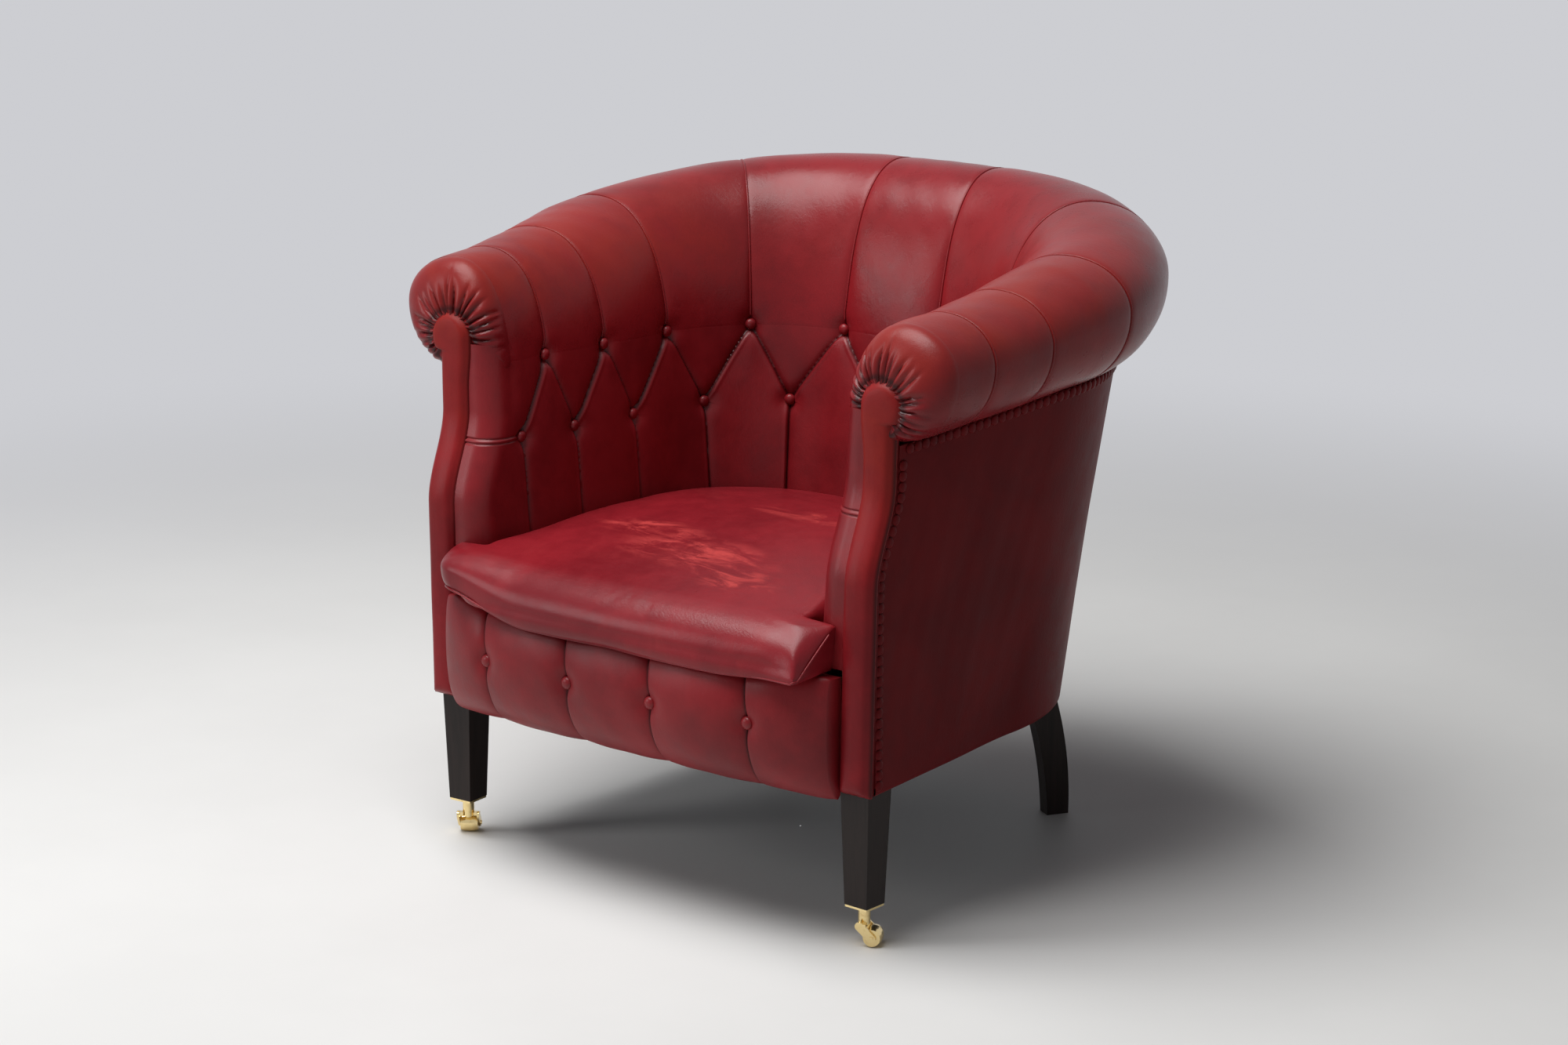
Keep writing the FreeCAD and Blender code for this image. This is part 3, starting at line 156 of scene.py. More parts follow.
class Bench:
    """Workbench for the nodes of one material or world."""

    def __init__(self, owner: Material | World) -> None:
        """Start with the owner's own surface and output.

        Args:
            owner: The new material or world.
        """
        self.owner = owner
        owner.use_nodes = True
        self.tree = owner.node_tree
        self.surface, self.output = self.tree.nodes[:2]

    def node(self, kind: str, settings: dict[str, Any], *inputs: Any, out: int | str = 0,
             **named: Any) -> Value:
        """Add one node.

        Args:
            kind: Node type.
            settings: Properties, which are set before the sockets.
            *inputs: Values or links of the first sockets, in order; None leaves one alone.
            out: Output to carry on with.
            **named: Values or links of sockets by name, with _ for a space.

        Returns:
            The chosen output.
        """
        node = self.tree.nodes.new(kind)
        for key, value in settings.items():
            setattr(node, key, value)
        for socket, value in zip(node.inputs, inputs):
            self.feed(socket, value)
        for key, value in named.items():
            self.feed(node.inputs[key.replace("_", " ")], value)
        return Value(self, node.outputs[out])

    def feed(self, socket: NodeSocket, value: Any) -> None:
        """Set or link one socket.

        Args:
            socket: The input socket.
            value: Number or colour that it gets, Value that it is linked to, or None to leave it.
        """
        if value is None:
            return
        if isinstance(value, Value):
            self.tree.links.new(value.socket, socket)
        elif hasattr(value, "__len__") and len(value) == 3 and socket.type == "RGBA":
            socket.default_value = (*value, 1.0)
        else:
            socket.default_value = value

    def place(self) -> Value:
        """Coordinates of the piece itself, in metres."""
        return self.node("ShaderNodeTexCoord", {}, out="Object")

    def stretched(self, place: Value, scale: Sequence[float]) -> Value:
        """Coordinates scaled per axis."""
        return self.node("ShaderNodeVectorMath", {"operation": "MULTIPLY"}, place, tuple(scale))

    def noise(self, place: Value, scale: float, detail: float = 2.0, rough: float = 0.5,
              bend: float = 0.0) -> Value:
        """Cloudy noise, about 0.5 on average."""
        return self.node("ShaderNodeTexNoise", {}, Vector=place, Scale=scale, Detail=detail,
                         Roughness=rough, Distortion=bend)

    def cells(self, place: Value, scale: float) -> Value:
        """Distance in a cell pattern."""
        return self.node("ShaderNodeTexVoronoi", {}, Vector=place, Scale=scale)

    def blend(self, share: Any, first: Any, second: Any) -> Value:
        """Mix two colours.

        Args:
            share: Share of the second.
            first: First colour.
            second: Second colour.

        Returns:
            The mixed colour.
        """
        node = self.tree.nodes.new("ShaderNodeMix")
        node.data_type = "RGBA"
        for socket, value in zip((node.inputs[0], node.inputs[6], node.inputs[7]), (share, first, second)):
            self.feed(socket, value)
        return Value(self, node.outputs[2])

    def axis(self, place: Value, name: str) -> Value:
        """One coordinate of a place."""
        return self.node("ShaderNodeSeparateXYZ", {}, place, out=name)

    def bump(self, height: Value, depth: float, strength: float, under: Value | None = None) -> Value:
        """Relief with steps as deep as depth, in metres, over the relief that lies under it."""
        return self.node("ShaderNodeBump", {}, Strength=strength, Distance=depth, Height=height,
                         Normal=under)

    def dress(self, **sockets: Any) -> Material:
        """Feed the surface's sockets by name, with _ for a space, and finish the material."""
        for key, value in sockets.items():
            self.feed(self.surface.inputs[key.replace("_", " ")], value)
        return self.owner

    def seen(self) -> Value:
        """Tell how the surroundings are seen.

        Returns:
            1 for the rays of the eye, a mirror or glass, else 0.
        """
        names = ("Is Camera Ray", "Is Glossy Ray", "Is Transmission Ray")
        eye, mirror, glass = (self.node("ShaderNodeLightPath", {}, out=name) for name in names)
        return (eye + mirror + glass).held()

    def over(self, share: Value, shader: Value) -> None:
        """Lay another shader over the surface by a share."""
        mixed = self.node("ShaderNodeMixShader", {}, share, Value(self, self.surface.outputs[0]), shader)
        self.feed(self.output.inputs[0], mixed)


# Finishes


class Wear(Enum):
    """Where a leather has been rubbed to its warmer undertone."""

    NONE = "none"
    ARM_TOPS = "arm tops"
    SEAT = "seat"


@dataclass(frozen=True)
class Leather:
    """Dyed, waxed upholstery leather with fine pores and soft cloudy colour, darkened by painted shade in
    its fine creases and along pleat lines, seams and gathers.
    """

    name: str
    colour: Colour = (0.235, 0.0100, 0.0145)
    shade: Colour = (0.150, 0.0062, 0.0095)
    warm: Colour = (0.255, 0.017, 0.0095)
    # Near-black colour of the painted shade along pleat lines, seams and gathers.
    fold: Colour = (0.012, 0.001, 0.001)
    roughness: float = 0.34
    shine: float = 0.30
    wear: Wear = Wear.NONE
    warm_from: float = 0.56
    warm_to: float = 0.66
    seat_scuffs: tuple[tuple[float, float, float, float], ...] = (
        (0.020, -0.215, 0.085, 0.032),
        (0.105, -0.255, 0.050, 0.022),
        (-0.080, -0.175, 0.060, 0.020),
        (0.060, -0.060, 0.070, 0.016),
    )

    def make(self) -> Material:
        """Make the material.

        Returns:
            The material.
        """
        bench = Bench(bpy.data.materials.new(self.name))
        place = bench.place()
        clouds = bench.noise(place, scale=7.0, detail=4.0, rough=0.55, bend=0.4)
        mottle = bench.noise(place, scale=46.0, detail=3.0, rough=0.6)
        share = (clouds * 0.75 + mottle * 0.25).step(0.33, 0.66)
        colour = bench.blend(share, self.shade, self.colour)
        rubbed = self._rubbed(bench, place)
        if rubbed is not None:
            colour = bench.blend(rubbed, colour, self.warm)
        pores = bench.cells(place, scale=780.0)
        grain = bench.noise(place, scale=420.0, rough=0.6)
        drawn = bench.stretched(place, (1.0, 1.6, 0.8))
        creases = bench.noise(drawn, scale=90.0, detail=3.0, rough=0.62, bend=1.2)
        # Painted shade: up to 0.16 darker towards the shade tone in the valleys of the fine creases.
        colour = bench.blend(0.16 - creases.step(0.30, 0.42) * 0.16, colour, self.shade)
        # Painted shade: darkened towards the near-black colour by the mesh's point attribute along pleat
        # lines, seams and gathers.
        fold = bench.node("ShaderNodeAttribute", {"attribute_name": PAINTED_SHADE_ATTRIBUTE}, out="Fac")
        colour = bench.blend(fold, colour, self.fold)
        rough = mottle * 0.16 + grain * 0.06 + (self.roughness - 0.11)
        if rubbed is not None:
            rough = rough + rubbed * 0.12
        relief = bench.bump(pores * 0.6 + grain * 0.4, depth=0.00022, strength=0.35)
        relief = bench.bump(creases, depth=0.0008, strength=0.22, under=relief)
        return bench.dress(Base_Color=colour, Roughness=rough, Normal=relief, Specular_IOR_Level=self.shine)

    def _rubbed(self, bench: Bench, place: Value) -> Value | None:
        """Mask of the rubbed places.

        Args:
            bench: Workbench of the material.
            place: Coordinates of the piece.

        Returns:
            The mask, or None where nothing is rubbed.
        """
        if self.wear is Wear.NONE:
            return None
        patches = bench.noise(place, scale=11.0, detail=5.0, rough=0.62, bend=0.8)
        if self.wear is Wear.ARM_TOPS:
            height = bench.axis(place, "Z").step(self.warm_from, self.warm_to)
            front = 1.0 - bench.axis(place, "Y").step(-0.12, 0.30)
            return (height * front * (patches.step(0.34, 0.66) * 0.45 + 0.35)).held()
        drawn = bench.stretched(place, (0.5, 1.5, 1.0))
        fine = bench.noise(drawn, scale=34.0, detail=10.0, rough=0.70, bend=0.9)
        total: Any = 0.0
        for x, y, reach_x, reach_y in self.seat_scuffs:
            across = (bench.axis(place, "X") - x) / reach_x
            along = (bench.axis(place, "Y") - y) / reach_y
            total = total + (1.0 - (across * across + along * along)).step(-1.2, 1.0)
        worn = total * fine.step(0.42, 0.64) * patches.step(0.28, 0.58)
        return (worn + patches.step(0.56, 0.78) * 0.15).held()


@dataclass(frozen=True)
class Wood:
    """Timber with long grain along the upright axis."""

    name: str
    dark: Colour
    light: Colour
    roughness: float
    shine: float = 0.5

    def make(self) -> Material:
        """Make the material.

        Returns:
            The material.
        """
        bench = Bench(bpy.data.materials.new(self.name))
        place = bench.stretched(bench.place(), (1.0, 1.0, 0.07))
        grain = bench.noise(place, scale=190.0, detail=4.0, rough=0.65, bend=0.5)
        figure = bench.noise(place, scale=28.0, detail=3.0, bend=1.4)
        share = (grain * 0.5 + figure * 0.5).step(0.34, 0.68)
        colour = bench.blend(share, self.dark, self.light)
        relief = bench.bump(grain, depth=0.0004, strength=0.16)
        rough = grain * 0.14 + (self.roughness - 0.07)
        return bench.dress(Base_Color=colour, Roughness=rough, Normal=relief, Specular_IOR_Level=self.shine)


@dataclass(frozen=True)
class Metal:
    """Bright or dulled metal with fine handling marks."""

    name: str
    colour: Colour
    dull: Colour
    roughness: float

    def make(self) -> Material:
        """Make the material.

        Returns:
            The material.
        """
        bench = Bench(bpy.data.materials.new(self.name))
        place = bench.place()
        tarnish = bench.noise(place, scale=130.0, detail=4.0, rough=0.6, bend=0.5)
        marks = bench.noise(bench.stretched(place, (1.0, 1.0, 9.0)), scale=500.0, rough=0.6)
        colour = bench.blend(tarnish.step(0.52, 0.78) * 0.7, self.colour, self.dull)
        rough = tarnish * 0.12 + marks * 0.08 + (self.roughness - 0.10)
        relief = bench.bump(marks, depth=0.0001, strength=0.12)
        return bench.dress(Base_Color=colour, Metallic=1.0, Roughness=rough, Normal=relief)


@dataclass(frozen=True)
class Weave:
    """Plain woven cloth, from coarse jute to fine lining."""

    name: str
    warp: Colour
    weft: Colour
    threads: float

    def make(self) -> Material:
        """Make the material.

        Returns:
            The material.
        """
        bench = Bench(bpy.data.materials.new(self.name))
        place = bench.place()
        across, along = (self._band(bench, place, direction) for direction in ("X", "Y"))
        fuzz = bench.noise(place, scale=600.0, detail=3.0, rough=0.7)
        share = (across * 0.5 + along * 0.3 + fuzz * 0.2).step(0.2, 0.8)
        colour = bench.blend(share, self.warp, self.weft)
        relief = bench.bump(across * along + fuzz * 0.4, depth=0.0006, strength=0.5)
        return bench.dress(Base_Color=colour, Roughness=fuzz * 0.1 + 0.82, Normal=relief)

    def _band(self, bench: Bench, place: Value, direction: str) -> Value:
        """Weave threads that follow one another along an axis.

        Args:
            bench: Workbench of the material.
            place: Coordinates.
            direction: The axis.

        Returns:
            Height of the threads, from 0 to 1.
        """
        settings = {"wave_type": "BANDS", "bands_direction": direction}
        return bench.node("ShaderNodeTexWave", settings, Vector=place, Scale=self.threads, Distortion=0.6,
                          Detail=1.0, Detail_Scale=3.0, out="Fac")


@dataclass(frozen=True)
class Sweep:
    """Pale matt floor that turns into the even backdrop away from the chair."""

    name: str = "studio_floor_paint"
    colour: Colour = (0.80, 0.795, 0.78)
    shade: Colour = (0.77, 0.765, 0.75)
    backdrop: Colour = (0.61, 0.615, 0.645)
    roughness: float = 0.6
    near: float = 0.9
    far: float = 2.8

    def make(self) -> Material:
        """Make the floor's material.

        Returns:
            The material.
        """
        bench = Bench(bpy.data.materials.new(self.name))
        place = bench.place()
        clouds = bench.noise(place, scale=1.3, detail=5.0, rough=0.6)
        colour = bench.blend(clouds.step(0.35, 0.65), self.shade, self.colour)
        reach = bench.node("ShaderNodeVectorMath", {"operation": "LENGTH"}, place, out="Value")
        glow = bench.node("ShaderNodeEmission", {}, self.backdrop, 1.0)
        bench.over(bench.seen() * reach.step(self.near, self.far), glow)
        rough = clouds * 0.1 + (self.roughness - 0.05)
        return bench.dress(Base_Color=colour, Roughness=rough, Specular_IOR_Level=0.3)

    def sky(self, name: str, air: Sequence[float], strength: float) -> World:
        """Make the world: even light, seen as the same backdrop.

        Args:
            name: Name of the world.
            air: Colour of its light.
            strength: Strength of its light.

        Returns:
            The world.
        """
        bench = Bench(bpy.data.worlds.new(name))
        bench.over(bench.seen(), bench.node("ShaderNodeBackground", {}, self.backdrop, 1.0))
        return bench.dress(Color=air, Strength=strength)


class Finishes:
    """The chair's finishes by material slot, made once each."""

    def __init__(self) -> None:
        """Make every finish."""
        rubbed = {"wear": Wear.ARM_TOPS}
        # Painted shade: a darker, duller copy of the same leather for the outside panels, the welts behind
        # the facings and the nails under the roll, which sit in shade.
        painted_shade_copy = {"colour": (0.150, 0.0080, 0.0098), "shade": (0.105, 0.0055, 0.0072), "shine": 0.06}
        recipes: dict[str, Any] = {
            "roll_leather": Leather("roll_leather_red", roughness=0.28, shine=0.24, **rubbed),
            "inside_leather": Leather("inside_leather_red", roughness=0.36, **rubbed),
            "outside_leather": Leather("outside_leather_red", roughness=0.44, **painted_shade_copy),
            "facing_leather": Leather("facing_leather_red", roughness=0.38, shine=0.15, wear=Wear.ARM_TOPS,
                                      warm_from=0.30, warm_to=0.62),
            "piping_leather": Leather("piping_leather_red", roughness=0.42, **painted_shade_copy),
            "button_leather": Leather("button_leather_red", roughness=0.34),
            "nail_leather": Leather("nail_leather_red", roughness=0.42, **painted_shade_copy),
            "border_leather": Leather("border_leather_red", roughness=0.42, shine=0.24),
            "seat_leather": Leather("seat_leather_red", colour=(0.245, 0.0110, 0.0175),
                                    shade=(0.165, 0.0070, 0.0120), warm=(0.46, 0.046, 0.044),
                                    roughness=0.32, shine=0.25, wear=Wear.SEAT),
            "leg_wood": Wood("leg_wood_black", (0.010, 0.006, 0.005), (0.020, 0.012, 0.010), 0.36, 0.22),
            "frame_beech": Wood("frame_beech_pale", (0.42, 0.27, 0.15), (0.60, 0.43, 0.27), 0.55),
            "castor_brass": Metal("castor_brass_bright", (0.86, 0.68, 0.34), (0.60, 0.42, 0.17), 0.20),
            "screw_steel": Metal("screw_steel_zinc", (0.62, 0.62, 0.63), (0.40, 0.40, 0.41), 0.32),
            "spring_steel": Metal("spring_steel_oiled", (0.26, 0.26, 0.27), (0.12, 0.11, 0.10), 0.42),
            "jute": Weave("jute_woven", (0.36, 0.25, 0.13), (0.52, 0.40, 0.24), 110.0),
            "deck_wadding": Weave("deck_calico", (0.34, 0.29, 0.22), (0.46, 0.41, 0.33), 320.0),
            "dust_cloth": Weave("dust_cloth_black", (0.018, 0.018, 0.018), (0.034, 0.034, 0.035), 300.0),
        }
        self.by_slot = {slot: recipe.make() for slot, recipe in recipes.items()}

    def __getitem__(self, slot: str) -> Material:
        """Material of a slot."""
        return self.by_slot[slot]


# Mesh helpers


class Shell:
    """Collects sheets of points, in millimetres, and turns them into one mesh."""

    def __init__(self) -> None:
        """Start with no points."""
        self.points: list[Array] = []
        self.folds: list[Array] = []
        self.faces: list[tuple[int, ...]] = []
        self.count = 0

    def _add(self, points: Array, fold: Array | None = None) -> int:
        """Keep points.

        Args:
            points: Rows of x, y, z.
            fold: Painted shade at each point, deepest in a pleat's fold, from 0 to 1.

        Returns:
            Index of the first.
        """
        first = self.count
        self.points.append(points.reshape(-1, 3))
        self.count += len(self.points[-1])
        self.folds.append(np.zeros(self.count - first) if fold is None else fold.ravel())
        return first

    def sheet(self, grid: Array, around: bool = False, along: bool = False,
              fold: Array | None = None) -> "Shell":
        """Add a grid of points as quads.

        Args:
            grid: Points, rows by columns by 3.
            around: Whether the last column joins the first.
            along: Whether the last row joins the first.
            fold: Painted shade at each point, deepest in a pleat's fold, from 0 to 1.

        Returns:
            The shell itself.
        """
        rows, cols = grid.shape[:2]
        first = self._add(grid, fold)
        r = np.arange(rows if along else rows - 1)[:, None]
        c = np.arange(cols if around else cols - 1)[None, :]
        nr, nc = (r + 1) % rows, (c + 1) % cols
        quads = np.stack([r * cols + c, r * cols + nc, nr * cols + nc, nr * cols + c], -1) + first
        self.faces.extend(map(tuple, quads.reshape(-1, 4).tolist()))
        return self

    def slab(self, front: Array, back: Array, fold: Array | None = None) -> "Shell":
        """Add a front and a back of the same shape, closed along their four edges.

        Args:
            front: Points of the front, rows by columns by 3.
            back: Points of the back.
            fold: Painted shade at each point of the front, deepest in a pleat's fold, from 0 to 1.

        Returns:
            The shell itself.
        """
        self.sheet(front, fold=fold).sheet(back)
        for edge in (np.s_[0], np.s_[-1], np.s_[:, 0], np.s_[:, -1]):
            self.sheet(np.stack([front[edge], back[edge]]))
        return self

    def hose(self, grid: Array, fold: Array | None = None) -> "Shell":
        """Add a grid whose columns are closed rings, capped at both ends.

        Args:
            grid: Points, rows by columns by 3.
            fold: Painted shade at each point, deepest in a pleat's fold, from 0 to 1.

        Returns:
            The shell itself.
        """
        self.sheet(grid, along=True, fold=fold)
        for ring in (grid[:, 0], grid[:, -1]):
            self.sheet(np.stack([ring, np.broadcast_to(ring.mean(0), ring.shape)]), around=True)
        return self

    def on(self, side: Side | None) -> "Shell":
        """Turn a shell made for the left side into its mirror image if it is for the right one.

        Args:
            side: Side that it is for, or None for neither.

        Returns:
            The shell.
        """
        if side is not None:
            self.points = [points * np.array([side.value, 1.0, 1.0]) for points in self.points]
        return self

    def tube(self, path: Array, radius: float, sides: int = 8) -> "Shell":
        """Add a round cord along a path, closed at both ends.

        Args:
            path: Points along the middle.
            radius: Radius of the cord.
            sides: Number of sides.

        Returns:
            The shell itself.
        """
        run = unit(np.gradient(path, axis=0))
        helper = UP if abs(run[0] @ UP) < 0.8 else np.array([1.0, 0.0, 0.0])
        across = np.cross(run, helper)
        for k in range(1, len(run)):
            across[k] = unit(across[k - 1] - run[k] * (across[k - 1] @ run[k]))
        across[0] = across[1]
        over = np.cross(run, across)
        turn = np.linspace(0.0, FULL_TURN, sides, endpoint=False)[None, :, None]
        ring = across[:, None] * np.cos(turn) + over[:, None] * np.sin(turn)
        grid = path[:, None] + ring * radius
        ends = [np.repeat(path[[k]], sides, 0)[None] for k in (0, -1)]
        return self.sheet(np.concatenate([ends[0], grid, ends[1]]), around=True)

    def dome(self, place: Array, outward: Array, radius: float, height: float, rounds: int = 20,
             rise: int = 7) -> "Shell":
        """Add a smooth dome with a closed back.

        Args:
            place: Middle of its base.
            outward: Unit direction of its top.
            radius: Radius of the base.
            height: Height of the dome.
            rounds: Points around.
            rise: Rings up.

        Returns:
            The shell itself.
        """
        helper = UP if abs(outward @ UP) < 0.9 else np.array([1.0, 0.0, 0.0])
        across = unit(np.cross(outward, helper))
        over = np.cross(outward, across)
        turn = np.linspace(0.0, FULL_TURN, rounds, endpoint=False)
        ring = across * np.cos(turn)[:, None] + over * np.sin(turn)[:, None]
        lift = np.linspace(0.0, QUARTER, rise)
        spread = np.concatenate([[0.0, 0.90], np.cos(lift) ** 0.8])
        level = np.concatenate([[-0.12, -0.12], np.sin(lift)])
        spread[-1] = 0.0
        wide, high = (spread * radius)[:, None, None], (level * height)[:, None, None]
        return self.sheet(place + ring[None] * wide + outward * high, around=True)

    def mesh(self, name: str, weld: float = 0.002) -> Mesh:
        """Build the mesh, welded and smooth.

        Args:
            name: Name of the mesh.
            weld: Distance in millimetres within which points join.

        Returns:
            The mesh, in metres.
        """
        mesh = bpy.data.meshes.new(name)
        mesh.from_pydata((np.concatenate(self.points) * MM).tolist(), [], self.faces)
        # Painted shade along the pleat lines, kept as a point attribute that darkens the leather's colour.
        fold = np.concatenate(self.folds)
        if fold.any():
            mesh.attributes.new(PAINTED_SHADE_ATTRIBUTE, "FLOAT", "POINT").data.foreach_set("value", fold)
        work = bmesh.new()
        work.from_mesh(mesh)
        bmesh.ops.remove_doubles(work, verts=work.verts, dist=weld * MM)
        bmesh.ops.dissolve_degenerate(work, edges=work.edges, dist=1e-7)
        bmesh.ops.recalc_face_normals(work, faces=work.faces)
        for edge in work.edges:
            edge.smooth = edge.calc_face_angle(0.0) < SHARP_ANGLE
        for face in work.faces:
            face.smooth = True
        work.to_mesh(mesh)
        work.free()
        return mesh


@dataclass(frozen=True)
class Fitter:
    """Puts finished pieces on the chair."""

    finishes: Finishes

    def fit(self, made: Shell | Mesh, name: str, slot: str, node: str = "", body: Body = Body.FRAME,
            fill: float | None = None) -> Object:
        """Turn a shell or mesh into a piece that rides on the chair.

        Args:
            made: The piece's shell, or its finished mesh.
            name: Name of the piece.
            slot: Material slot of its finish.
            node: Node that it stands for, if that isn't the name without its last word.
            body: Body that carries it.
            fill: How full it is, for a padded piece; not used.

        Returns:
            The piece.
        """
        mesh = made.mesh(name) if isinstance(made, Shell) else made
        piece = placed(name, mesh)
        mesh.materials.append(self.finishes[slot])
        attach(piece, body.value)
        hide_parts(node or name.rsplit("_", 1)[0])
        log.info("%s: %d faces", name, len(mesh.polygons))
        return piece


def placed(name: str, data: ID) -> Object:
    """Put a mesh, lamp or camera into the scene.

    Args:
        name: Name of the object.
        data: The mesh, lamp or camera.

    Returns:
        The object.
    """
    thing = bpy.data.objects.new(name, data)
    bpy.context.scene.collection.objects.link(thing)
    return thing


def unit(arrow: Array) -> Array:
    """Arrow or rows of arrows of length 1."""
    return arrow / np.maximum(np.linalg.norm(arrow, axis=-1, keepdims=True), 1e-9)


def both_ways(places: Sequence[float]) -> list[float]:
    """Places and their mirror images, from one end to the other, with the middle once."""
    return [-place for place in reversed(places) if place] + list(places)


def smooth(x: Array, low: float, high: float) -> Array:
    """Smooth rise from 0 at low to 1 at high."""
    u = np.clip((x - low) / (high - low), 0.0, 1.0)
    return u * u * (3.0 - 2.0 * u)


def points_of(mesh: Mesh) -> Array:
    """Read the points of a mesh.

    Args:
        mesh: The mesh.

    Returns:
        Its points as rows.
    """
    points = np.empty(len(mesh.vertices) * 3)
    mesh.vertices.foreach_get("co", points)
    return points.reshape(-1, 3)


def wobble(x: Array, seed: int, waves: int = 5) -> Array:
    """Gentle repeatable irregularity along x, between about -1 and 1.

    Args:
        x: Places in millimetres.
        seed: Which irregularity.
        waves: Number of waves added up.

    Returns:
        The irregularity.
    """
    draw = np.random.default_rng(seed)
    total = np.zeros_like(x)
    for length, turn in zip(draw.uniform(40.0, 190.0, waves), draw.uniform(0.0, FULL_TURN, waves)):
        total = total + np.sin(FULL_TURN * x / length + turn) / waves
    return total


# The tub


@dataclass(frozen=True)
class Tub:
    """Plan and heights of the tub that every cover follows.

    Stations run from -3 at the right arm's front over 0 at the back to 3 at the left arm's front.
    """

    crest_radius: float = 262.0
    back_flat_half: float = 66.0
    corner_depth: float = 303.0
    arm_front_half: float = 308.0
    arm_front_depth: float = 38.0
    face_y: float = -293.0
    crest_z: tuple[float, ...] = (744.0, 730.0, 696.0, 674.0, 663.0)
    nail_z: tuple[float, ...] = (580.0, 574.0, 566.0, 553.0, 542.0)
    top_button_z: float = 553.0
    lower_button_z: float = 466.0
    widest_share: float = 0.42
    roll_out: tuple[float, ...] = (79.5, 79.5, 78.0, 71.0, 63.5)
    panel_out: tuple[float, ...] = (27.0, 25.5, 25.0, 15.0, 4.0)
    panel_foot_out: tuple[float, ...] = (-18.0, -26.0, -31.0, -15.5, -0.5)
    inner_top: tuple[float, ...] = (-113.0, -114.0, -112.0, -89.0, -66.0)
    inner_foot: tuple[float, ...] = (-152.0, -146.0, -130.0, -105.0, -81.0)
    inner_foot_z: float = 304.0
    panel_foot_z: float = 172.0
    seams: tuple[float, ...] = (1.0, 1.46, 1.90, 2.31, 2.67)
    lower_buttons: tuple[float, ...] = (0.0, 1.262, 1.707, 2.155, 2.518, 2.842)
    roll_front: float = 2.90
    bend_low_z: float = 395.0
    bend_high_z: float = 500.0
    facing_setback: float = 28.0
    facing_inner: float = 267.0
    facing_width: float = 40.0
    facing_splay: float = 6.0
    head_z: float = 580.0
    head_out: float = 4.0
    head_radius: float = 28.5

    @property
    def corner_y(self) -> float:
        """Place of the corner arcs' centres."""
        return self.face_y + self.corner_depth

    @property
    def arm(self) -> tuple[float, float, float]:
        """Angle of the arm's outward direction, and the point where the arm leaves the corner."""
        dx = self.arm_front_half - self.back_flat_half
        dy = self.arm_front_depth - self.corner_depth
        angle = math.atan2(dy, dx) + math.acos(self.crest_radius / math.hypot(dx, dy))
        x = self.back_flat_half + self.crest_radius * math.cos(angle)
        return angle, x, self.corner_y + self.crest_radius * math.sin(angle)

    @property
    def arm_front_y(self) -> float:
        """Depth of the crest's front end."""
        return self.face_y + self.arm_front_depth

    @property
    def head_x(self) -> float:
        """Sideways place of the facing head's centre."""
        return self.facing_inner + self.facing_width / 2 + self.facing_splay + self.head_out

    def arm_station(self, y: Array) -> Array:
        """Stations of the arm whose crest lies at depths y."""
        return 2.0 + (y - self.arm[2]) / (self.arm_front_y - self.arm[2])

    def station(self, t: Array) -> tuple[Array, Array]:
        """Crest point and outward direction.

        Args:
            t: Stations.

        Returns:
            Points and unit directions, each with a last axis of 3.
        """
        t = np.asarray(t, float)
        side, a = np.where(t < 0, -1.0, 1.0), np.abs(t)
        arm_angle, arm_x, arm_y = self.arm
        angle = QUARTER - (QUARTER - arm_angle) * np.clip(a - 1, 0.0, 1.0)
        on_arm = a > 2
        x = self.back_flat_half * np.minimum(a, 1.0) + self.crest_radius * np.cos(angle)
        y = self.corner_y + self.crest_radius * np.sin(angle)
        x = np.where(on_arm, arm_x + (self.arm_front_half - arm_x) * (a - 2), x)
        y = np.where(on_arm, arm_y + (self.arm_front_y - arm_y) * (a - 2), y)
        zero = np.zeros_like(x)
        return np.stack([side * x, y, zero], -1), np.stack([side * np.cos(angle), np.sin(angle), zero], -1)

    @staticmethod
    def at(values: Sequence[float], t: Array) -> Array:
        """Size at stations, drawn smoothly through the five places where it is given.

        Args:
            values: The size at stations 1, 1.5, 2, 2.5 and 3.
            t: Stations.

        Returns:
            The size at each station.
        """
        v, gap = np.asarray(values, float), 0.5
        slope = np.concatenate([[0.0], (v[2:] - v[:-2]) / (2 * gap), [(v[-1] - v[-2]) / gap]])
        a = np.maximum(np.abs(np.asarray(t, float)), 1.0)
        x = np.minimum((a - 1.0) / gap, 4.0)
        k = np.minimum(x.astype(int), 3)
        u = x - k
        bend = v[k] * (2 * u**3 - 3 * u**2 + 1) + v[k + 1] * (3 * u**2 - 2 * u**3)
        lean = slope[k] * (u**3 - 2 * u**2 + u) + slope[k + 1] * (u**3 - u**2)
        return bend + lean * gap + np.maximum(a - 3.0, 0.0) * slope[-1]

    def point(self, t: Array, n: Array, z: Array) -> Array:
        """Points at distance n outward from the crest and height z, at stations t."""
        crest, outward = self.station(t)
        return crest + outward * np.asarray(n)[..., None] + UP * np.asarray(z)[..., None]

    def run(self, t: Array, n: Array) -> Array:
        """Measure how far a unit of station reaches.

        Args:
            t: Stations.
            n: Distances from the crest.

        Returns:
            Millimetres per unit of station.
        """
        step, level = 1e-4, np.zeros_like(n)
        ahead, behind = (self.point(t + way * step, n, level) for way in (1, -1))
        return np.linalg.norm(ahead - behind, axis=-1) / (2 * step)

    def inner_n(self, t: Array, z: Array) -> Array:
        """Inner face of the padding."""
        return self.at(self.inner_top, t) + self.lean(t) * (z - self.top_button_z)

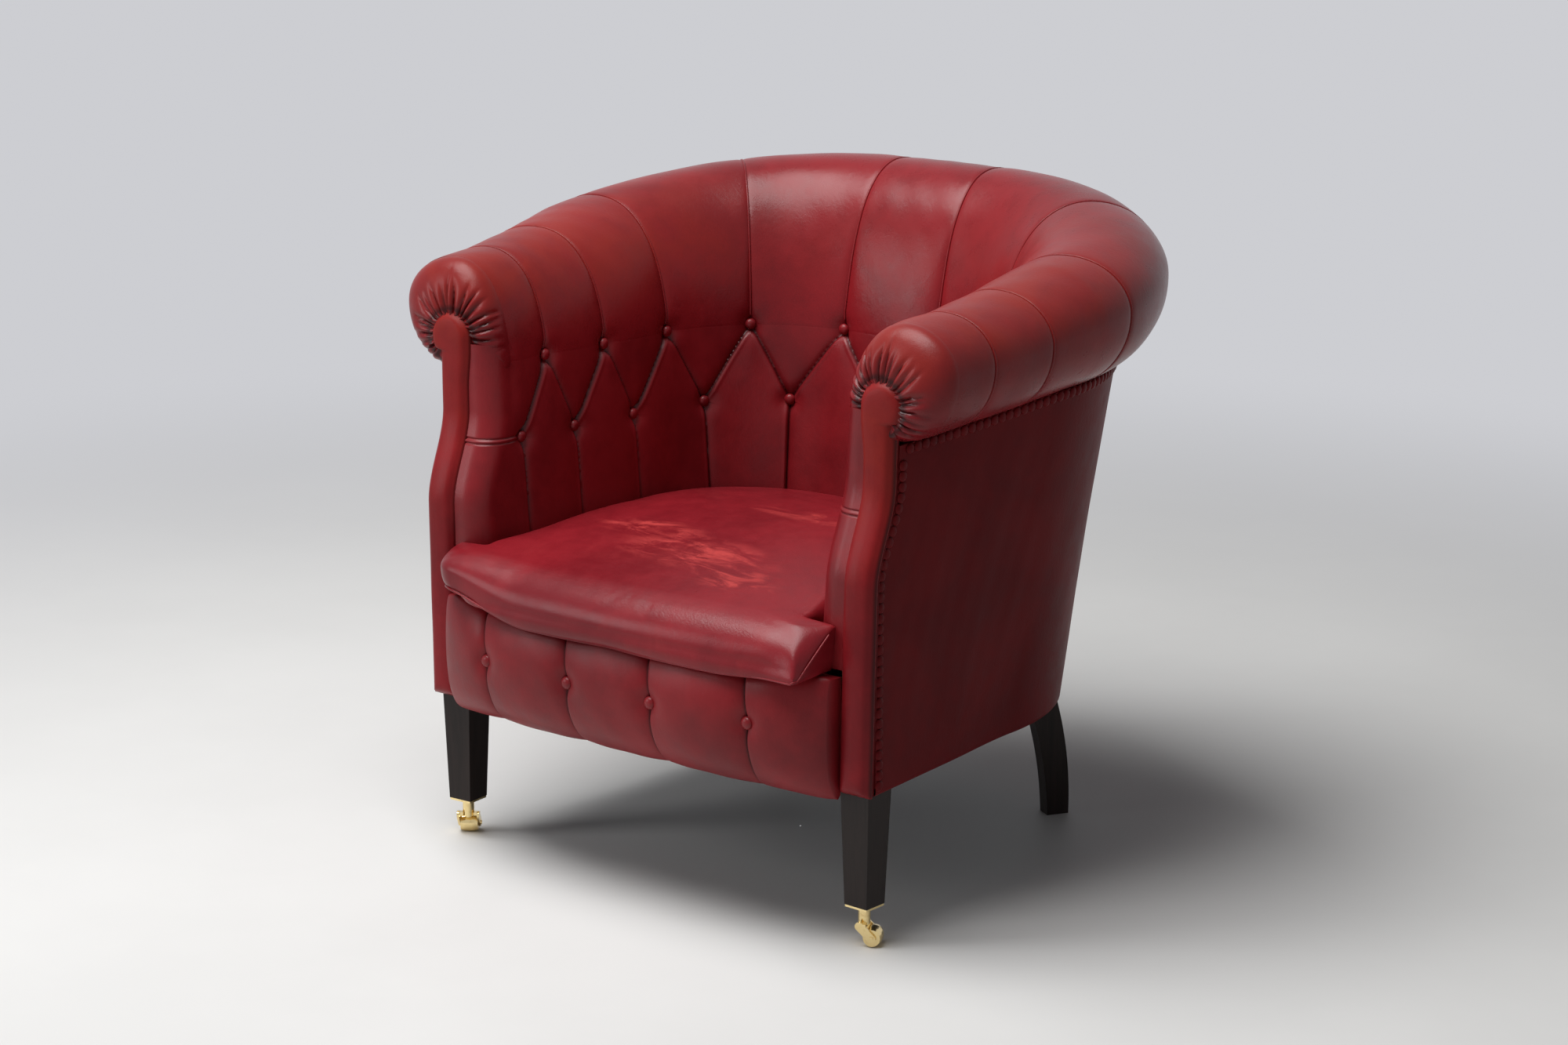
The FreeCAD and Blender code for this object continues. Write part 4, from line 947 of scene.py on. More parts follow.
    def panel_n(self, t: Array, z: Array) -> Array:
        """Outer face of the outside leather.

        Args:
            t: Stations.
            z: Heights.

        Returns:
            Its distances from the crest.
        """
        share = (z - self.panel_foot_z) / (self.at(self.nail_z, t) - self.panel_foot_z)
        foot = self.at(self.panel_foot_out, t)
        return foot + (self.at(self.panel_out, t) - foot) * share

    def front(self, z: Array) -> Array:
        """Front line of the arm: how far it is set back at height z."""
        return self.facing_setback * smooth(np.asarray(z, float), self.bend_low_z, self.bend_high_z)

    def lean(self, t: Array) -> Array:
        """How far the inner face moves outward per millimetre of height."""
        fall = self.top_button_z - self.inner_foot_z
        return (self.at(self.inner_top, t) - self.at(self.inner_foot, t)) / fall


@dataclass
class Pleats:
    """Relief of the buttoned inside: pleats between the buttons, dips at them, fullness between.

    Places on the cover are s, the millimetres round the inside from the middle of the back,
    and h, the millimetres up from the top row of buttons.
    """

    tub: Tub
    depth: float = 4.0
    lip: float = 0.9
    fullness: float = 3.8
    reach: float = 21.0
    high_fullness: float = 0.14
    seam_depth: float = 1.5
    seam_width: float = 2.8
    button_dip: float = 6.2
    button_reach: float = 12.5
    sharp: float = 1.2
    soft: float = 3.8
    front_share: float = 0.15
    front_crease: float = 1.5
    # Strength and width of the painted shade along each pleat and seam.
    fold_depth: float = 0.8
    fold_width: float = 1.5
    foot_draw: float = 0.995
    fade_height: float = 170.0
    grid_t: Array = field(init=False)
    grid_s: Array = field(init=False)

    def __post_init__(self) -> None:
        """Measure the way round the inside."""
        self.grid_t = np.linspace(0.0, 3.4, 3401)
        level = np.full_like(self.grid_t, (self.tub.top_button_z + self.tub.lower_button_z) / 2)
        points = self.tub.point(self.grid_t, self.tub.inner_n(self.grid_t, level), level)
        steps = np.linalg.norm(np.diff(points, axis=0), axis=1)
        self.grid_s = np.concatenate([[0.0], np.cumsum(steps)])

    @property
    def low(self) -> float:
        """Height of the lower buttons over the top row, which is negative."""
        return self.tub.lower_button_z - self.tub.top_button_z

    @property
    def last(self) -> float:
        """Distance round the inside to the last lower button."""
        return self.way(self.tub.lower_buttons[-1])

    def way(self, t: Array | float) -> Array:
        """Distance round the inside at stations t."""
        return np.sign(t) * np.interp(np.abs(t), self.grid_t, self.grid_s)

    def back_to_t(self, way: Array) -> Array:
        """Stations at distances round the inside."""
        return np.sign(way) * np.interp(np.abs(way), self.grid_s, self.grid_t)

    def lines(self) -> list[tuple[float, float, float, float, float]]:
        """List the pleats.

        Returns:
            Start s and h, end s and h, and the side that overlaps, for each.
        """
        floor = self.tub.inner_foot_z - self.tub.top_button_z
        tops, lows = ([self.way(t) for t in row] for row in (self.tub.seams, self.tub.lower_buttons))
        found = []
        for way in (1.0, -1.0):
            for k, top in enumerate(tops):
                found.append((way * top, 0.0, way * lows[k], self.low, way))
                found.append((way * top, 0.0, way * lows[k + 1], self.low, -way))
            for k, place in enumerate(lows):
                if k > 0 or way > 0:
                    found.append((way * place, self.low, way * place * self.foot_draw, floor, way))
        return found

    def _crease(self, s: Array, h: Array) -> Array:
        """Double crease that runs from the last low button round the arm's front.

        Args:
            s: Distance round the inside.
            h: Height over the top row.

        Returns:
            Its relief in millimetres.
        """
        high = h - self.low
        groove = sum(np.exp(-(((high - off) / 1.1) ** 2)) for off in (-2.5, 2.5))
        ridge = np.exp(-((high / 1.5) ** 2))
        begun = smooth(np.abs(s), self.last + 2.0, self.last + 12.0)
        return (0.5 * ridge - groove) * self.front_crease * begun

    def relief(self, s: Array, h: Array, seam_gap: Array) -> tuple[Array, Array]:
        """Height of the cover above its plain face.

        Args:
            s: Distance round the inside.
            h: Height over the top row.
            seam_gap: Distance to the nearest seam of the roll, for places above the top row.

        Returns:
            The relief in millimetres, negative where it is drawn in, and the painted shade at each
            place, deepest in a fold, from 0 to 1.
        """
        fade = smooth(h, 0.0, self.fade_height)
        near, sum_power, signed = np.full(s.shape, FAR), np.zeros(s.shape), np.zeros(s.shape)
        for s0, h0, s1, h1, way in self.lines():
            ds, dh = s1 - s0, h1 - h0
            length = math.hypot(ds, dh)
            share = np.clip(((s - s0) * ds + (h - h0) * dh) / length**2, 0.0, 1.0)
            gap = np.hypot(s - s0 - share * ds, h - h0 - share * dh)
            cross = ((s - s0) * dh - (h - h0) * ds) / length * way
            closer = gap < near
            near = np.where(closer, gap, near)
            signed = np.where(closer, np.where(cross > 0, gap, -gap), signed)
            sum_power += 1.0 / (gap + 0.5) ** 4
        seam = np.where(h >= 0, seam_gap, np.hypot(seam_gap, h))
        closer = seam < near
        near = np.where(closer, seam, near)
        signed = np.where(closer, np.abs(seam), signed)
        sum_power += 1.0 / (seam + 0.5) ** 4
        wide = sum_power**-0.25
        calm = 1.0 - (1.0 - self.front_share) * smooth(np.abs(s), self.last + 2.0, self.last + 20.0)
        full = self.fullness * (1.0 - (1.0 - self.high_fullness) * fade)
        full = full * (1.0 - np.exp(-((wide / self.reach) ** 1.5)))
        crisp = smooth(-h, 0.0, 16.0)
        side = np.where(signed > 0, self.soft, self.soft * (1.0 - crisp) + self.sharp * crisp)
        side = side * (1.0 - fade) + self.seam_width * fade
        depth = self.depth * (1.0 - fade) + self.seam_depth * fade
        drawn = depth * np.exp(-near / side)
        fold = self.lip * crisp * np.where(signed < 0, np.exp(-(((near - 3.0) / 2.2) ** 2)), 0.0)
        # Painted shade: a thin dark line along each pleat and seam below the top row, weaker at the arm's
        # front.
        dark = self.fold_depth * np.exp(-((near / self.fold_width) ** 2)) * smooth(-h, 0.0, 8.0) * calm
        return (full + fold - drawn) * calm - self._dips(s, h) + self._crease(s, h), dark

    def _dips(self, s: Array, h: Array) -> Array:
        """Hollows round the buttons.

        Args:
            s: Distance round the inside.
            h: Height over the top row.

        Returns:
            Their depth in millimetres.
        """
        total = np.zeros(s.shape)
        for row, level in ((self.tub.seams, 0.0), (self.tub.lower_buttons, self.low)):
            for t in both_ways(row):
                gap = np.hypot(s - self.way(t), h - level)
                total = np.maximum(total, self.button_dip * np.exp(-((gap / self.button_reach) ** 2)))
        return total


# Rolled top


@dataclass
class RolledTop:
    """The scrolled roll: eleven sewn panels and two gathered ends."""

    tub: Tub
    pleats: Pleats
    fitter: Fitter
    pitch: float = 3.0
    crowding: float = 0.40
    run_out: float = 40.0
    hem: float = 1.5
    low_rows: int = 26
    out_rows: int = 34
    in_rows: int = 76
    seam_gap: float = 0.12
    welt_radius: float = 1.25
    welt_lift: float = 0.55
    welt_rise: float = 1.2
    tuck: tuple[float, ...] = (2.0, 5.0)
    end_bulge: float = 31.0
    end_columns: int = 46
    head_gap: float = 0.1
    toe_flush: float = 0.20
    toe_reach: float = 0.45
    gathers: int = 25
    gather_start: float = -62.0
    gather_span: float = 305.0
    gather_shift: float = 0.22
    gather_bend: float = 0.20
    gather_length: tuple[float, float] = (26.0, 54.0)
    gather_depth: tuple[float, float] = (2.4, 4.4)
    gather_width: tuple[float, float] = (1.1, 1.9)
    puff: float = 2.2

    def section(self, t: Array) -> tuple[Array, Array, Array]:
        """Section of the roll at stations t.

        Args:
            t: Stations, one per column.

        Returns:
            Distance from the crest, height, and height over the top row along the cover,
            each rows by columns; the last rows are tucked under the padding's top.
        """
        tub = self.tub
        out, top = tub.at(tub.roll_out, t), tub.at(tub.crest_z, t)
        nail_n, nail_z = tub.at(tub.panel_out, t) + self.hem, tub.at(tub.nail_z, t)
        inner = tub.at(tub.inner_top, t)
        wide_z = top - tub.widest_share * (top - nail_z)
        drop, inset = wide_z - nail_z, out - nail_n
        radius = (drop**2 + inset**2) / (2 * inset)
        sweep = np.arcsin(np.clip(drop / radius, -1.0, 1.0))
        u = np.linspace(1.0, 0.0, self.low_rows)[:-1, None]
        low_n = out - radius + radius * np.cos(sweep * u)
        low_z = wide_z - radius * np.sin(sweep * u)
        turn = np.linspace(0.0, QUARTER, self.out_rows)[:-1, None]
        out_n, out_z = out * np.cos(turn), wide_z + (top - wide_z) * np.sin(turn)
        u = np.linspace(0.0, 1.0, self.in_rows)[:, None]
        lean, fall = tub.lean(t), top - tub.top_button_z
        second = inner + lean * fall * 0.55
        a, b, c, d = (1 - u) ** 3, 3 * u * (1 - u) ** 2, 3 * u**2 * (1 - u), u**3
        in_n = b * inner * 0.63 + c * second + d * inner
        in_z = a * top + b * top + c * (tub.top_button_z + fall * 0.55) + d * tub.top_button_z
        tucked = np.array(self.tuck)[:, None]
        tail_n, tail_z = inner - lean * tucked, tub.top_button_z - tucked + 0 * inner
        n = np.concatenate([low_n, out_n, in_n, tail_n])
        z = np.concatenate([low_z, out_z, in_z, tail_z])
        steps = np.hypot(np.diff(n, axis=0), np.diff(z, axis=0))
        h = np.concatenate([np.cumsum(steps[::-1], axis=0)[::-1], np.zeros((1, len(t)))])
        return n, z, h - h[-1 - len(self.tuck)]

    def normals(self, t: Array, n: Array, z: Array) -> Array:
        """Outward normals of the section, in space.

        Args:
            t: Stations.
            n: Distances from the crest.
            z: Heights.

        Returns:
            Arrows of length 1, rows by columns by 3.
        """
        dn, dz = np.gradient(n, axis=0), np.gradient(z, axis=0)
        return unit(self.tub.station(t)[1] * dz[..., None] - UP * dn[..., None])

    def cover(self, t: Array) -> tuple[Array, Array]:
        """Dressed surface of the roll at stations t.

        Args:
            t: Stations.

        Returns:
            The points, and the normals, rows by columns by 3.
        """
        n, z, h = self.section(t)
        wide = np.broadcast_to(t, n.shape)
        normal = self.normals(wide, n, z)
        gap = np.min([np.abs(np.abs(wide) - seam) for seam in self.tub.seams], axis=0)
        relief = self.pleats.relief(self.pleats.way(wide), h, gap * self.tub.run(wide, n))[0]
        level = smooth(h, -8.0, 60.0)
        relief = relief - self.pleats.fullness * self.pleats.high_fullness * level
        waves = wobble(self.pleats.way(wide) * 1.3 + h * 0.7, 4)
        relief = relief + 0.6 * level * waves * smooth(h, 20.0, 120.0)
        sink = np.where(h < -0.1, -0.15 + h * 0.09, 0.0)
        return self.tub.point(wide, n, z) + normal * (relief + sink)[..., None], normal

    def underside(self, cover: Array, rows: int = 6) -> Array:
        """Rows that close the cover from its tucked edge back to the nails."""
        share = np.linspace(0.0, 1.0, rows + 2)[1:-1, None, None]
        return cover[-1] * (1 - share) + cover[0] * share + UP * 3.0 * np.sin(np.pi * share)

    def panel(self, number: int, t0: float, t1: float) -> None:
        """Make one sewn panel.

        Args:
            number: Its number, from the right arm.
            t0: Station of its first seam.
            t1: Station of its last seam.
        """
        run = float(self.tub.run(np.array((t0 + t1) / 2), np.array(self.run_out)))
        gap = self.seam_gap / run
        first = t0 + (gap if abs(t0) in self.tub.seams else 0.0)
        last = t1 - (gap if abs(t1) in self.tub.seams else 0.0)
        share = np.linspace(0.0, 1.0, max(int((t1 - t0) * run / self.pitch), 8))
        share = share - self.crowding * np.sin(FULL_TURN * share) / FULL_TURN
        cover, _ = self.cover(first + (last - first) * share)
        shell = Shell().hose(np.concatenate([cover, self.underside(cover)]))
        if abs(t0) in self.tub.seams:
            shell.tube(self.welt(t0), self.welt_radius)
        self.fitter.fit(shell, f"roll_panel_{number:02d}_cover", "roll_leather", fill=0.9)

    def welt(self, t: float) -> Array:
        """Draw the middle line of the sewn welt at a seam.

        Args:
            t: Station of the seam.

        Returns:
            Points along the line.
        """
        line, normal = self.cover(np.array([t]))
        stop = len(line) - len(self.tuck) - 3
        rise = np.linspace(0.0, 1.0, len(line))[:, None] ** 6 * self.welt_rise
        line = line[:, 0] + normal[:, 0] * (self.welt_lift + rise)
        return line[2:stop:2]

    def end(self, side: Side) -> None:
        """Make one gathered end, closed round the head of the facing.

        Args:
            side: Side of the end.
        """
        tub = self.tub
        cover, _ = self.cover(np.array([tub.roll_front]))
        rim = np.concatenate([cover, self.underside(cover)])[:, 0]
        crest, outward = tub.station(np.array(tub.roll_front))
        forward = np.array([outward[1], -outward[0], 0.0])
        aside = tub.head_x - crest[0]
        centre = crest + (forward * forward[0] + outward * outward[0]) * aside + UP * tub.head_z
        arm = rim - centre
        radius = np.hypot(arm @ outward, arm[:, 2])[:, None]
        angle = np.unwrap(np.arctan2(arm[:, 2], arm @ outward))[:, None]
        turn = np.linspace(0.0, QUARTER, self.end_columns)[None, :]
        hole = tub.head_radius + self.head_gap
        inner = np.minimum(hole / radius, 1.0)
        spread = radius * (inner + (1 - inner) * np.cos(turn) ** 0.9)
        toe = angle[len(cover) - 1 - len(self.tuck)]
        flush = 1.0 - self.toe_flush * np.exp(-(((angle - toe) / self.toe_reach) ** 2))
        away = 1.15 * (radius - hole) * (1.0 - turn / QUARTER)
        relief, fold = self._gathers(angle + 0 * turn, spread, away, turn)
        faced = np.sin(turn)
        spread = spread + relief * (1 - faced) * 0.9
        reach = self.end_bulge * faced * flush + relief * faced
        grid = (centre + outward * (spread * np.cos(angle))[..., None]
                + UP * (spread * np.sin(angle))[..., None] + forward * reach[..., None])
        grid[:, 0] = rim
        shell = Shell().hose(grid, fold).on(side)
        self.fitter.fit(shell, f"roll_end_{side.word}_gathered", "roll_leather", fill=0.9)

    def _gathers(self, angle: Array, spread: Array, away: Array, turn: Array) -> tuple[Array, Array]:
        """Relief of the gathers round the head, and the painted shade in them.

        Args:
            angle: Direction from the head's centre.
            spread: Distance from the head's centre.
            away: Distance along the leather from the head's edge.
            turn: How far the surface has turned to the front.

        Returns:
            The relief in millimetres, and the painted shade at each place, in the gathers' valleys and at
            the head's edge, from 0 to 1.
        """
        draw = np.random.default_rng(11)
        total, near = np.zeros(spread.shape), np.full(spread.shape, FAR)
        start, step = math.radians(self.gather_start), math.radians(self.gather_span) / self.gathers
        for k in range(self.gathers):
            place = start + (k + draw.uniform(-self.gather_shift, self.gather_shift)) * step
            bend = draw.uniform(-self.gather_bend, self.gather_bend)
            length = draw.uniform(*self.gather_length)
            depth, width = draw.uniform(*self.gather_depth), draw.uniform(*self.gather_width)
            lean = draw.choice([-1.0, 1.0])
            line = place + bend * np.clip(away / 45.0, 0.0, 1.5) ** 1.5
            delta = (angle - line + np.pi) % FULL_TURN - np.pi
            across = delta * spread * lean
            grow = (1.0 - smooth(away, length * 0.25, length)) * smooth(turn, 0.0, 0.35)
            side = np.where(across > 0, width, width * 2.6)
            total = np.minimum(total, -depth * grow * np.exp(-np.abs(across) / side))
            near = np.minimum(near, np.abs(across))
        # Painted shade: dark in the gathers' valleys and in a thin band along the head's edge.
        fold = np.maximum(smooth(-total, 1.0, 3.4) * 0.7, 0.8 * (1.0 - smooth(away, 1.5, 6.0)))
        puff = self.puff * (1.0 - smooth(away, 8.0, 34.0)) * (1 - np.exp(-near / 4.0))
        return total + puff * smooth(turn, 0.0, 0.35), fold * smooth(turn, 0.2, 0.7)

    def build(self) -> None:
        """Make every panel and both ends."""
        joins = both_ways((*self.tub.seams, self.tub.roll_front))
        for number, (t0, t1) in enumerate(zip(joins, joins[1:]), 1):
            self.panel(number, t0, t1)
        for side in Side:
            self.end(side)


# Buttoned inside


@dataclass
class Inside:
    """Buttoned and pleated padding inside the tub, with its covered buttons."""

    tub: Tub
    pleats: Pleats
    fitter: Fitter
    pitch: float = 1.6
    thickness: float = 36.0
    join_gap: float = 0.00005
    corner: float = 26.0
    corner_columns: int = 14
    corner_t: float = 2.95
    lap_columns: int = 7
    crease_band: float = 7.0
    crease_pitch: float = 0.7
    strip_top: float = 574.0
    strip_rise: float = 14.0
    strip_rows: int = 9
    facing_gap: float = 10.4
    facing_lap: float = 8.0
    rear_gap: float = 3.0
    tuck: float = 2.0
    button_radius: float = 6.7
    button_height: float = 5.2
    button_seat: float = 5.2

    def rows(self) -> Array:
        """Set out the rows of the padding, closer at the creases.

        Returns:
            Heights from just over the top row of buttons down to the foot.
        """
        tub = self.tub
        count = int((tub.top_button_z - tub.inner_foot_z) / self.pitch)
        rows = np.linspace(tub.top_button_z, tub.inner_foot_z, count)
        low = tub.lower_button_z
        fine = np.arange(low - self.crease_band, low + self.crease_band, self.crease_pitch)
        rows = rows[np.abs(rows - low) > self.crease_band]
        rows = np.sort(np.concatenate([rows, fine]))[::-1]
        return np.concatenate([[tub.top_button_z + self.tuck], rows])

    def dressed(self, t: Array, z: Array) -> tuple[Array, Array]:
        """Surface of the padding with its buttoning.

        Args:
            t: Stations.
            z: Heights.

        Returns:
            The points, and the painted shade at each, deepest in a fold, from 0 to 1.
        """
        h, s = z - self.tub.top_button_z, self.pleats.way(t)
        gap = np.min([np.abs(s - self.pleats.way(seam)) for seam in both_ways(self.tub.seams)], axis=0)
        relief, fold = self.pleats.relief(s, h, gap)
        relief = relief - np.where(h > 0.1, 0.15, 0.0)
        normal = unit(UP * self.tub.lean(t)[..., None] - self.tub.station(t)[1])
        return self.tub.point(t, self.tub.inner_n(t, z), z) + normal * relief[..., None], fold

    def back(self) -> None:
        """Make the back's padding."""
        limit = self.pleats.way(self.tub.seams[1] - self.join_gap)
        ways = np.linspace(-1, 1, int(2 * limit / self.pitch)) * limit
        t, z = np.broadcast_arrays(self.pleats.back_to_t(ways)[None, :], self.rows()[:, None])
        face, fold = self.dressed(t, z)
        rear = self.tub.point(t, self.tub.inner_n(t, z) + self.thickness, z)
        self.fitter.fit(Shell().slab(face, rear, fold), "inside_back_cover", "inside_leather", fill=0.85)

    def turned(self, z: Array, last: Array, outward: Array) -> Array:
        """Stretch of an arm's padding that turns the soft corner and runs behind the facing.

        Args:
            z: Heights of the rows.
            last: Station, per row, where the corner begins.
            outward: The arm's outward direction.

        Returns:
            Points, rows by columns by 3.
        """
        tub = self.tub
        turn = np.linspace(0.0, QUARTER, self.corner_columns)[1:]
        way = self.pleats.way(last)[:, None] + self.corner * turn[None, :]
        height = np.broadcast_to(z[:, None], way.shape) - tub.top_button_z
        lift = self.pleats.relief(way, height, np.full(way.shape, FAR))[0]
        middle = tub.point(last, tub.inner_n(last, z), z) + outward * self.corner
        direction = -outward * np.cos(turn)[:, None] + FORWARD * np.sin(turn)[:, None]
        arc = middle[:, None] + direction[None] * (self.corner + lift)[..., None]
        splay = tub.facing_splay * (z - tub.panel_foot_z) / (tub.head_z - tub.panel_foot_z)
        end = np.stack([tub.facing_inner + self.facing_lap + splay, arc[:, -1, 1], z], -1)
        share = np.linspace(0.0, 1.0, self.lap_columns)[1:]
        flat = arc[:, -1][:, None] * (1 - share)[None, :, None] + end[:, None] * share[None, :, None]
        return np.concatenate([arc, flat], axis=1)

    def arm(self, side: Side) -> None:
        """Make one arm's padding, turned round a soft corner behind the facing.

        Args:
            side: Side of the arm.
        """
        tub, pleats = self.tub, self.pleats
        high = tub.top_button_z + self.tuck
        z = np.concatenate([np.linspace(self.strip_top, high, self.strip_rows)[:-1], self.rows()])
        outward = tub.station(np.array(tub.roll_front))[1]
        start_y = tub.face_y + tub.front(z) + self.facing_gap + self.corner
        last = tub.arm_station(start_y - tub.inner_n(np.full_like(z, self.corner_t), z) * outward[1])
        first, end = pleats.way(tub.seams[1] + self.join_gap), pleats.way(last)[:, None]
        share = np.linspace(0.0, 1.0, int((pleats.way(tub.roll_front) - first) / self.pitch))[None, :]
        ways = first * (1 - share) + end * share
        t = pleats.back_to_t(ways)
        rise = smooth(ways - end, -self.strip_rise, 0.0)
        level = np.where(z[:, None] > high, high + (z[:, None] - high) * rise, z[:, None])
        main, fold = self.dressed(t, level)
        turned = self.turned(z, last, outward)
        spare = turned.shape[1]
        level = np.concatenate([level, np.repeat(z[:, None], spare, 1)], axis=1)
        rear_t = np.concatenate([t, np.repeat(last[:, None], spare, 1)], axis=1)
        rear = tub.point(rear_t, tub.inner_n(rear_t, level) + self.thickness, level)
        share = np.linspace(0.0, 1.0, spare)[None, :, None]
        behind = (turned[:, -1] - FORWARD * self.rear_gap)[:, None]
        rear[:, -spare:] = rear[:, -spare:] * (1 - share) + behind * share
        face, fold = np.concatenate([main, turned], axis=1), np.pad(fold, ((0, 0), (0, spare)))
        shell = Shell().slab(face, rear, fold).on(side)
        self.fitter.fit(shell, f"inside_arm_{side.word}_cover", "inside_leather", fill=0.85)

    def buttons(self) -> None:
        """Make the covered buttons of both rows."""
        tub, shell = self.tub, Shell()
        for row, z in ((tub.seams, tub.top_button_z), (tub.lower_buttons, tub.lower_button_z)):
            for t in both_ways(row):
                place = tub.point(t, tub.inner_n(t, z) + self.button_seat, z)
                shell.dome(place, -tub.station(t)[1], self.button_radius, self.button_height)
        self.fitter.fit(shell, "covered_buttons", "button_leather", node="inside_buttons")

    def build(self) -> None:
        """Make the padding and its buttons."""
        self.back()
        for side in Side:
            self.arm(side)
        self.buttons()


# Outside cover


@dataclass
class Outside:
    """Outside leather of the back and arms, with its rows of covered nails."""

    tub: Tub
    fitter: Fitter
    rows: int = 84
    back_columns: int = 110
    arm_columns: int = 130
    knee_rows: int = 7
    thickness: float = 3.6
    tuck: float = 6.0
    under_lip: float = 6.0
    join: float = 1.35
    join_gap: float = 0.0006
    wave_run: float = 420.0
    hem: float = 1.5
    hollow: float = 2.0
    front_gap: float = 14.8
    nail_radius: float = 5.9
    nail_height: float = 2.3
    nail_pitch: float = 11.2
    nail_drop: float = 5.5
    nail_setback: float = 20.5
    nail_lift: float = 0.4
    nail_row_front: float = 2.93

    def surface(self, t: Array, share: Array) -> tuple[Array, Array]:
        """Leather at stations t and shares of its height.

        Args:
            t: Stations.
            share: 0 at the nails, 1 at the knee where it turns under.

        Returns:
            Points and outward normals.
        """
        top = self.tub.at(self.tub.nail_z, t) - self.hem
        z = top + (self.tub.panel_foot_z + self.tuck - top) * share
        middle = np.sin(np.pi * np.clip(share, 0, 1))
        waves = 0.5 * wobble(t * self.wave_run + z * 0.4, 21)
        n = self.tub.panel_n(t, z) + (waves - self.hollow) * middle
        return self.tub.point(t, n, z), self.tub.station(t)[1]

    def cover(self, name: str, first: Array, last: Array, side: Side | None) -> None:
        """Make one piece of outside leather.

        Args:
            name: Its name.
            first: Station of its first edge, per row.
            last: Station of its last edge, per row.
            side: Side for an arm, or None for the back.
        """
        share = np.linspace(0.0, 1.0, self.rows)[:, None]
        columns = np.linspace(0.0, 1.0, self.back_columns if side is None else self.arm_columns)[None, :]
        t = first[:, None] * (1 - columns) + last[:, None] * columns
        face, outward = self.surface(t, np.broadcast_to(share, t.shape))
        inner = face - outward * self.thickness
        turn = np.linspace(0.0, QUARTER, self.knee_rows)[1:, None, None]
        under = face[-1] - outward[-1] * self.tuck * (1 - np.cos(turn)) - UP * self.tuck * np.sin(turn)
        lip = under[-1:] - outward[-1] * self.under_lip
        loop = np.concatenate([face, under, lip, lip + UP * self.thickness, inner[::-1][2:]])
        shell = Shell().sheet(loop, along=True)
        half = self.rows + self.knee_rows
        for ring in (loop[:, 0], loop[:, -1]):
            rear = ring[half:][::-1]
            shell.sheet(np.stack([ring[:len(rear)], rear]))
        self.fitter.fit(shell.on(side), name, "outside_leather")

    def front_station(self) -> Array:
        """Find the arm leather's front edge.

        Returns:
            Its station, per row.
        """
        share, t = np.linspace(0.0, 1.0, self.rows), np.full(self.rows, 3.0)
        for _ in range(3):
            points, _ = self.surface(t, share)
            target = self.tub.face_y + self.tub.front(points[:, 2]) + self.front_gap
            t = t + self.tub.arm_station(target) - self.tub.arm_station(points[:, 1])
        return t

    def square(self, t: float) -> Array:
        """Direction square to the sloping leather.

        Args:
            t: Station.

        Returns:
            The direction, of length 1.
        """
        tub = self.tub
        lean = tub.at(tub.panel_out, t) - tub.at(tub.panel_foot_out, t)
        return unit(tub.station(t)[1] * (tub.at(tub.nail_z, t) - tub.panel_foot_z) - UP * lean)

    def nail(self, shell: Shell, place: Array, square: Array) -> None:
        """Add one covered nail to a shell, at a place of the leather and square to it."""
        lifted = place + square * self.nail_lift
        shell.dome(lifted, square, self.nail_radius, self.nail_height, rounds=16, rise=5)

    def nails(self) -> None:
        """Make the covered nails under the roll and down the arm fronts."""
        tub, shell, t = self.tub, Shell(), -self.nail_row_front
        while t < self.nail_row_front:
            z = tub.at(tub.nail_z, t) - self.hem - self.nail_drop
            n = tub.panel_n(t, z)
            self.nail(shell, tub.point(t, n, z), self.square(t))
            t += self.nail_pitch / float(tub.run(t, n))
        z = tub.panel_foot_z + self.tuck + self.nail_radius
        stop = tub.nail_z[-1] - self.nail_drop - self.nail_pitch
        while z < stop:
            t = tub.arm_station(tub.face_y + self.nail_setback + tub.front(z))
            share = (z - tub.panel_foot_z) / (stop - tub.panel_foot_z)
            n = tub.panel_n(t, z) - self.hollow * math.sin(math.pi * share)
            for side in Side:
                flip = np.array([side.value, 1.0, 1.0])
                self.nail(shell, tub.point(t, n, z) * flip, self.square(3.0) * flip)
            z += self.nail_pitch
        self.fitter.fit(shell, "covered_nails", "nail_leather", node="nails")

    def build(self) -> None:
        """Make the three pieces of leather and the nails."""
        inner, outer = (np.full(self.rows, self.join + way * self.join_gap) for way in (-1, 1))
        self.cover("outside_back_leather", -inner, inner, None)
        for side in Side:
            self.cover(f"outside_arm_{side.word}_leather", outer, self.front_station(), side)
        self.nails()


# Arm facings


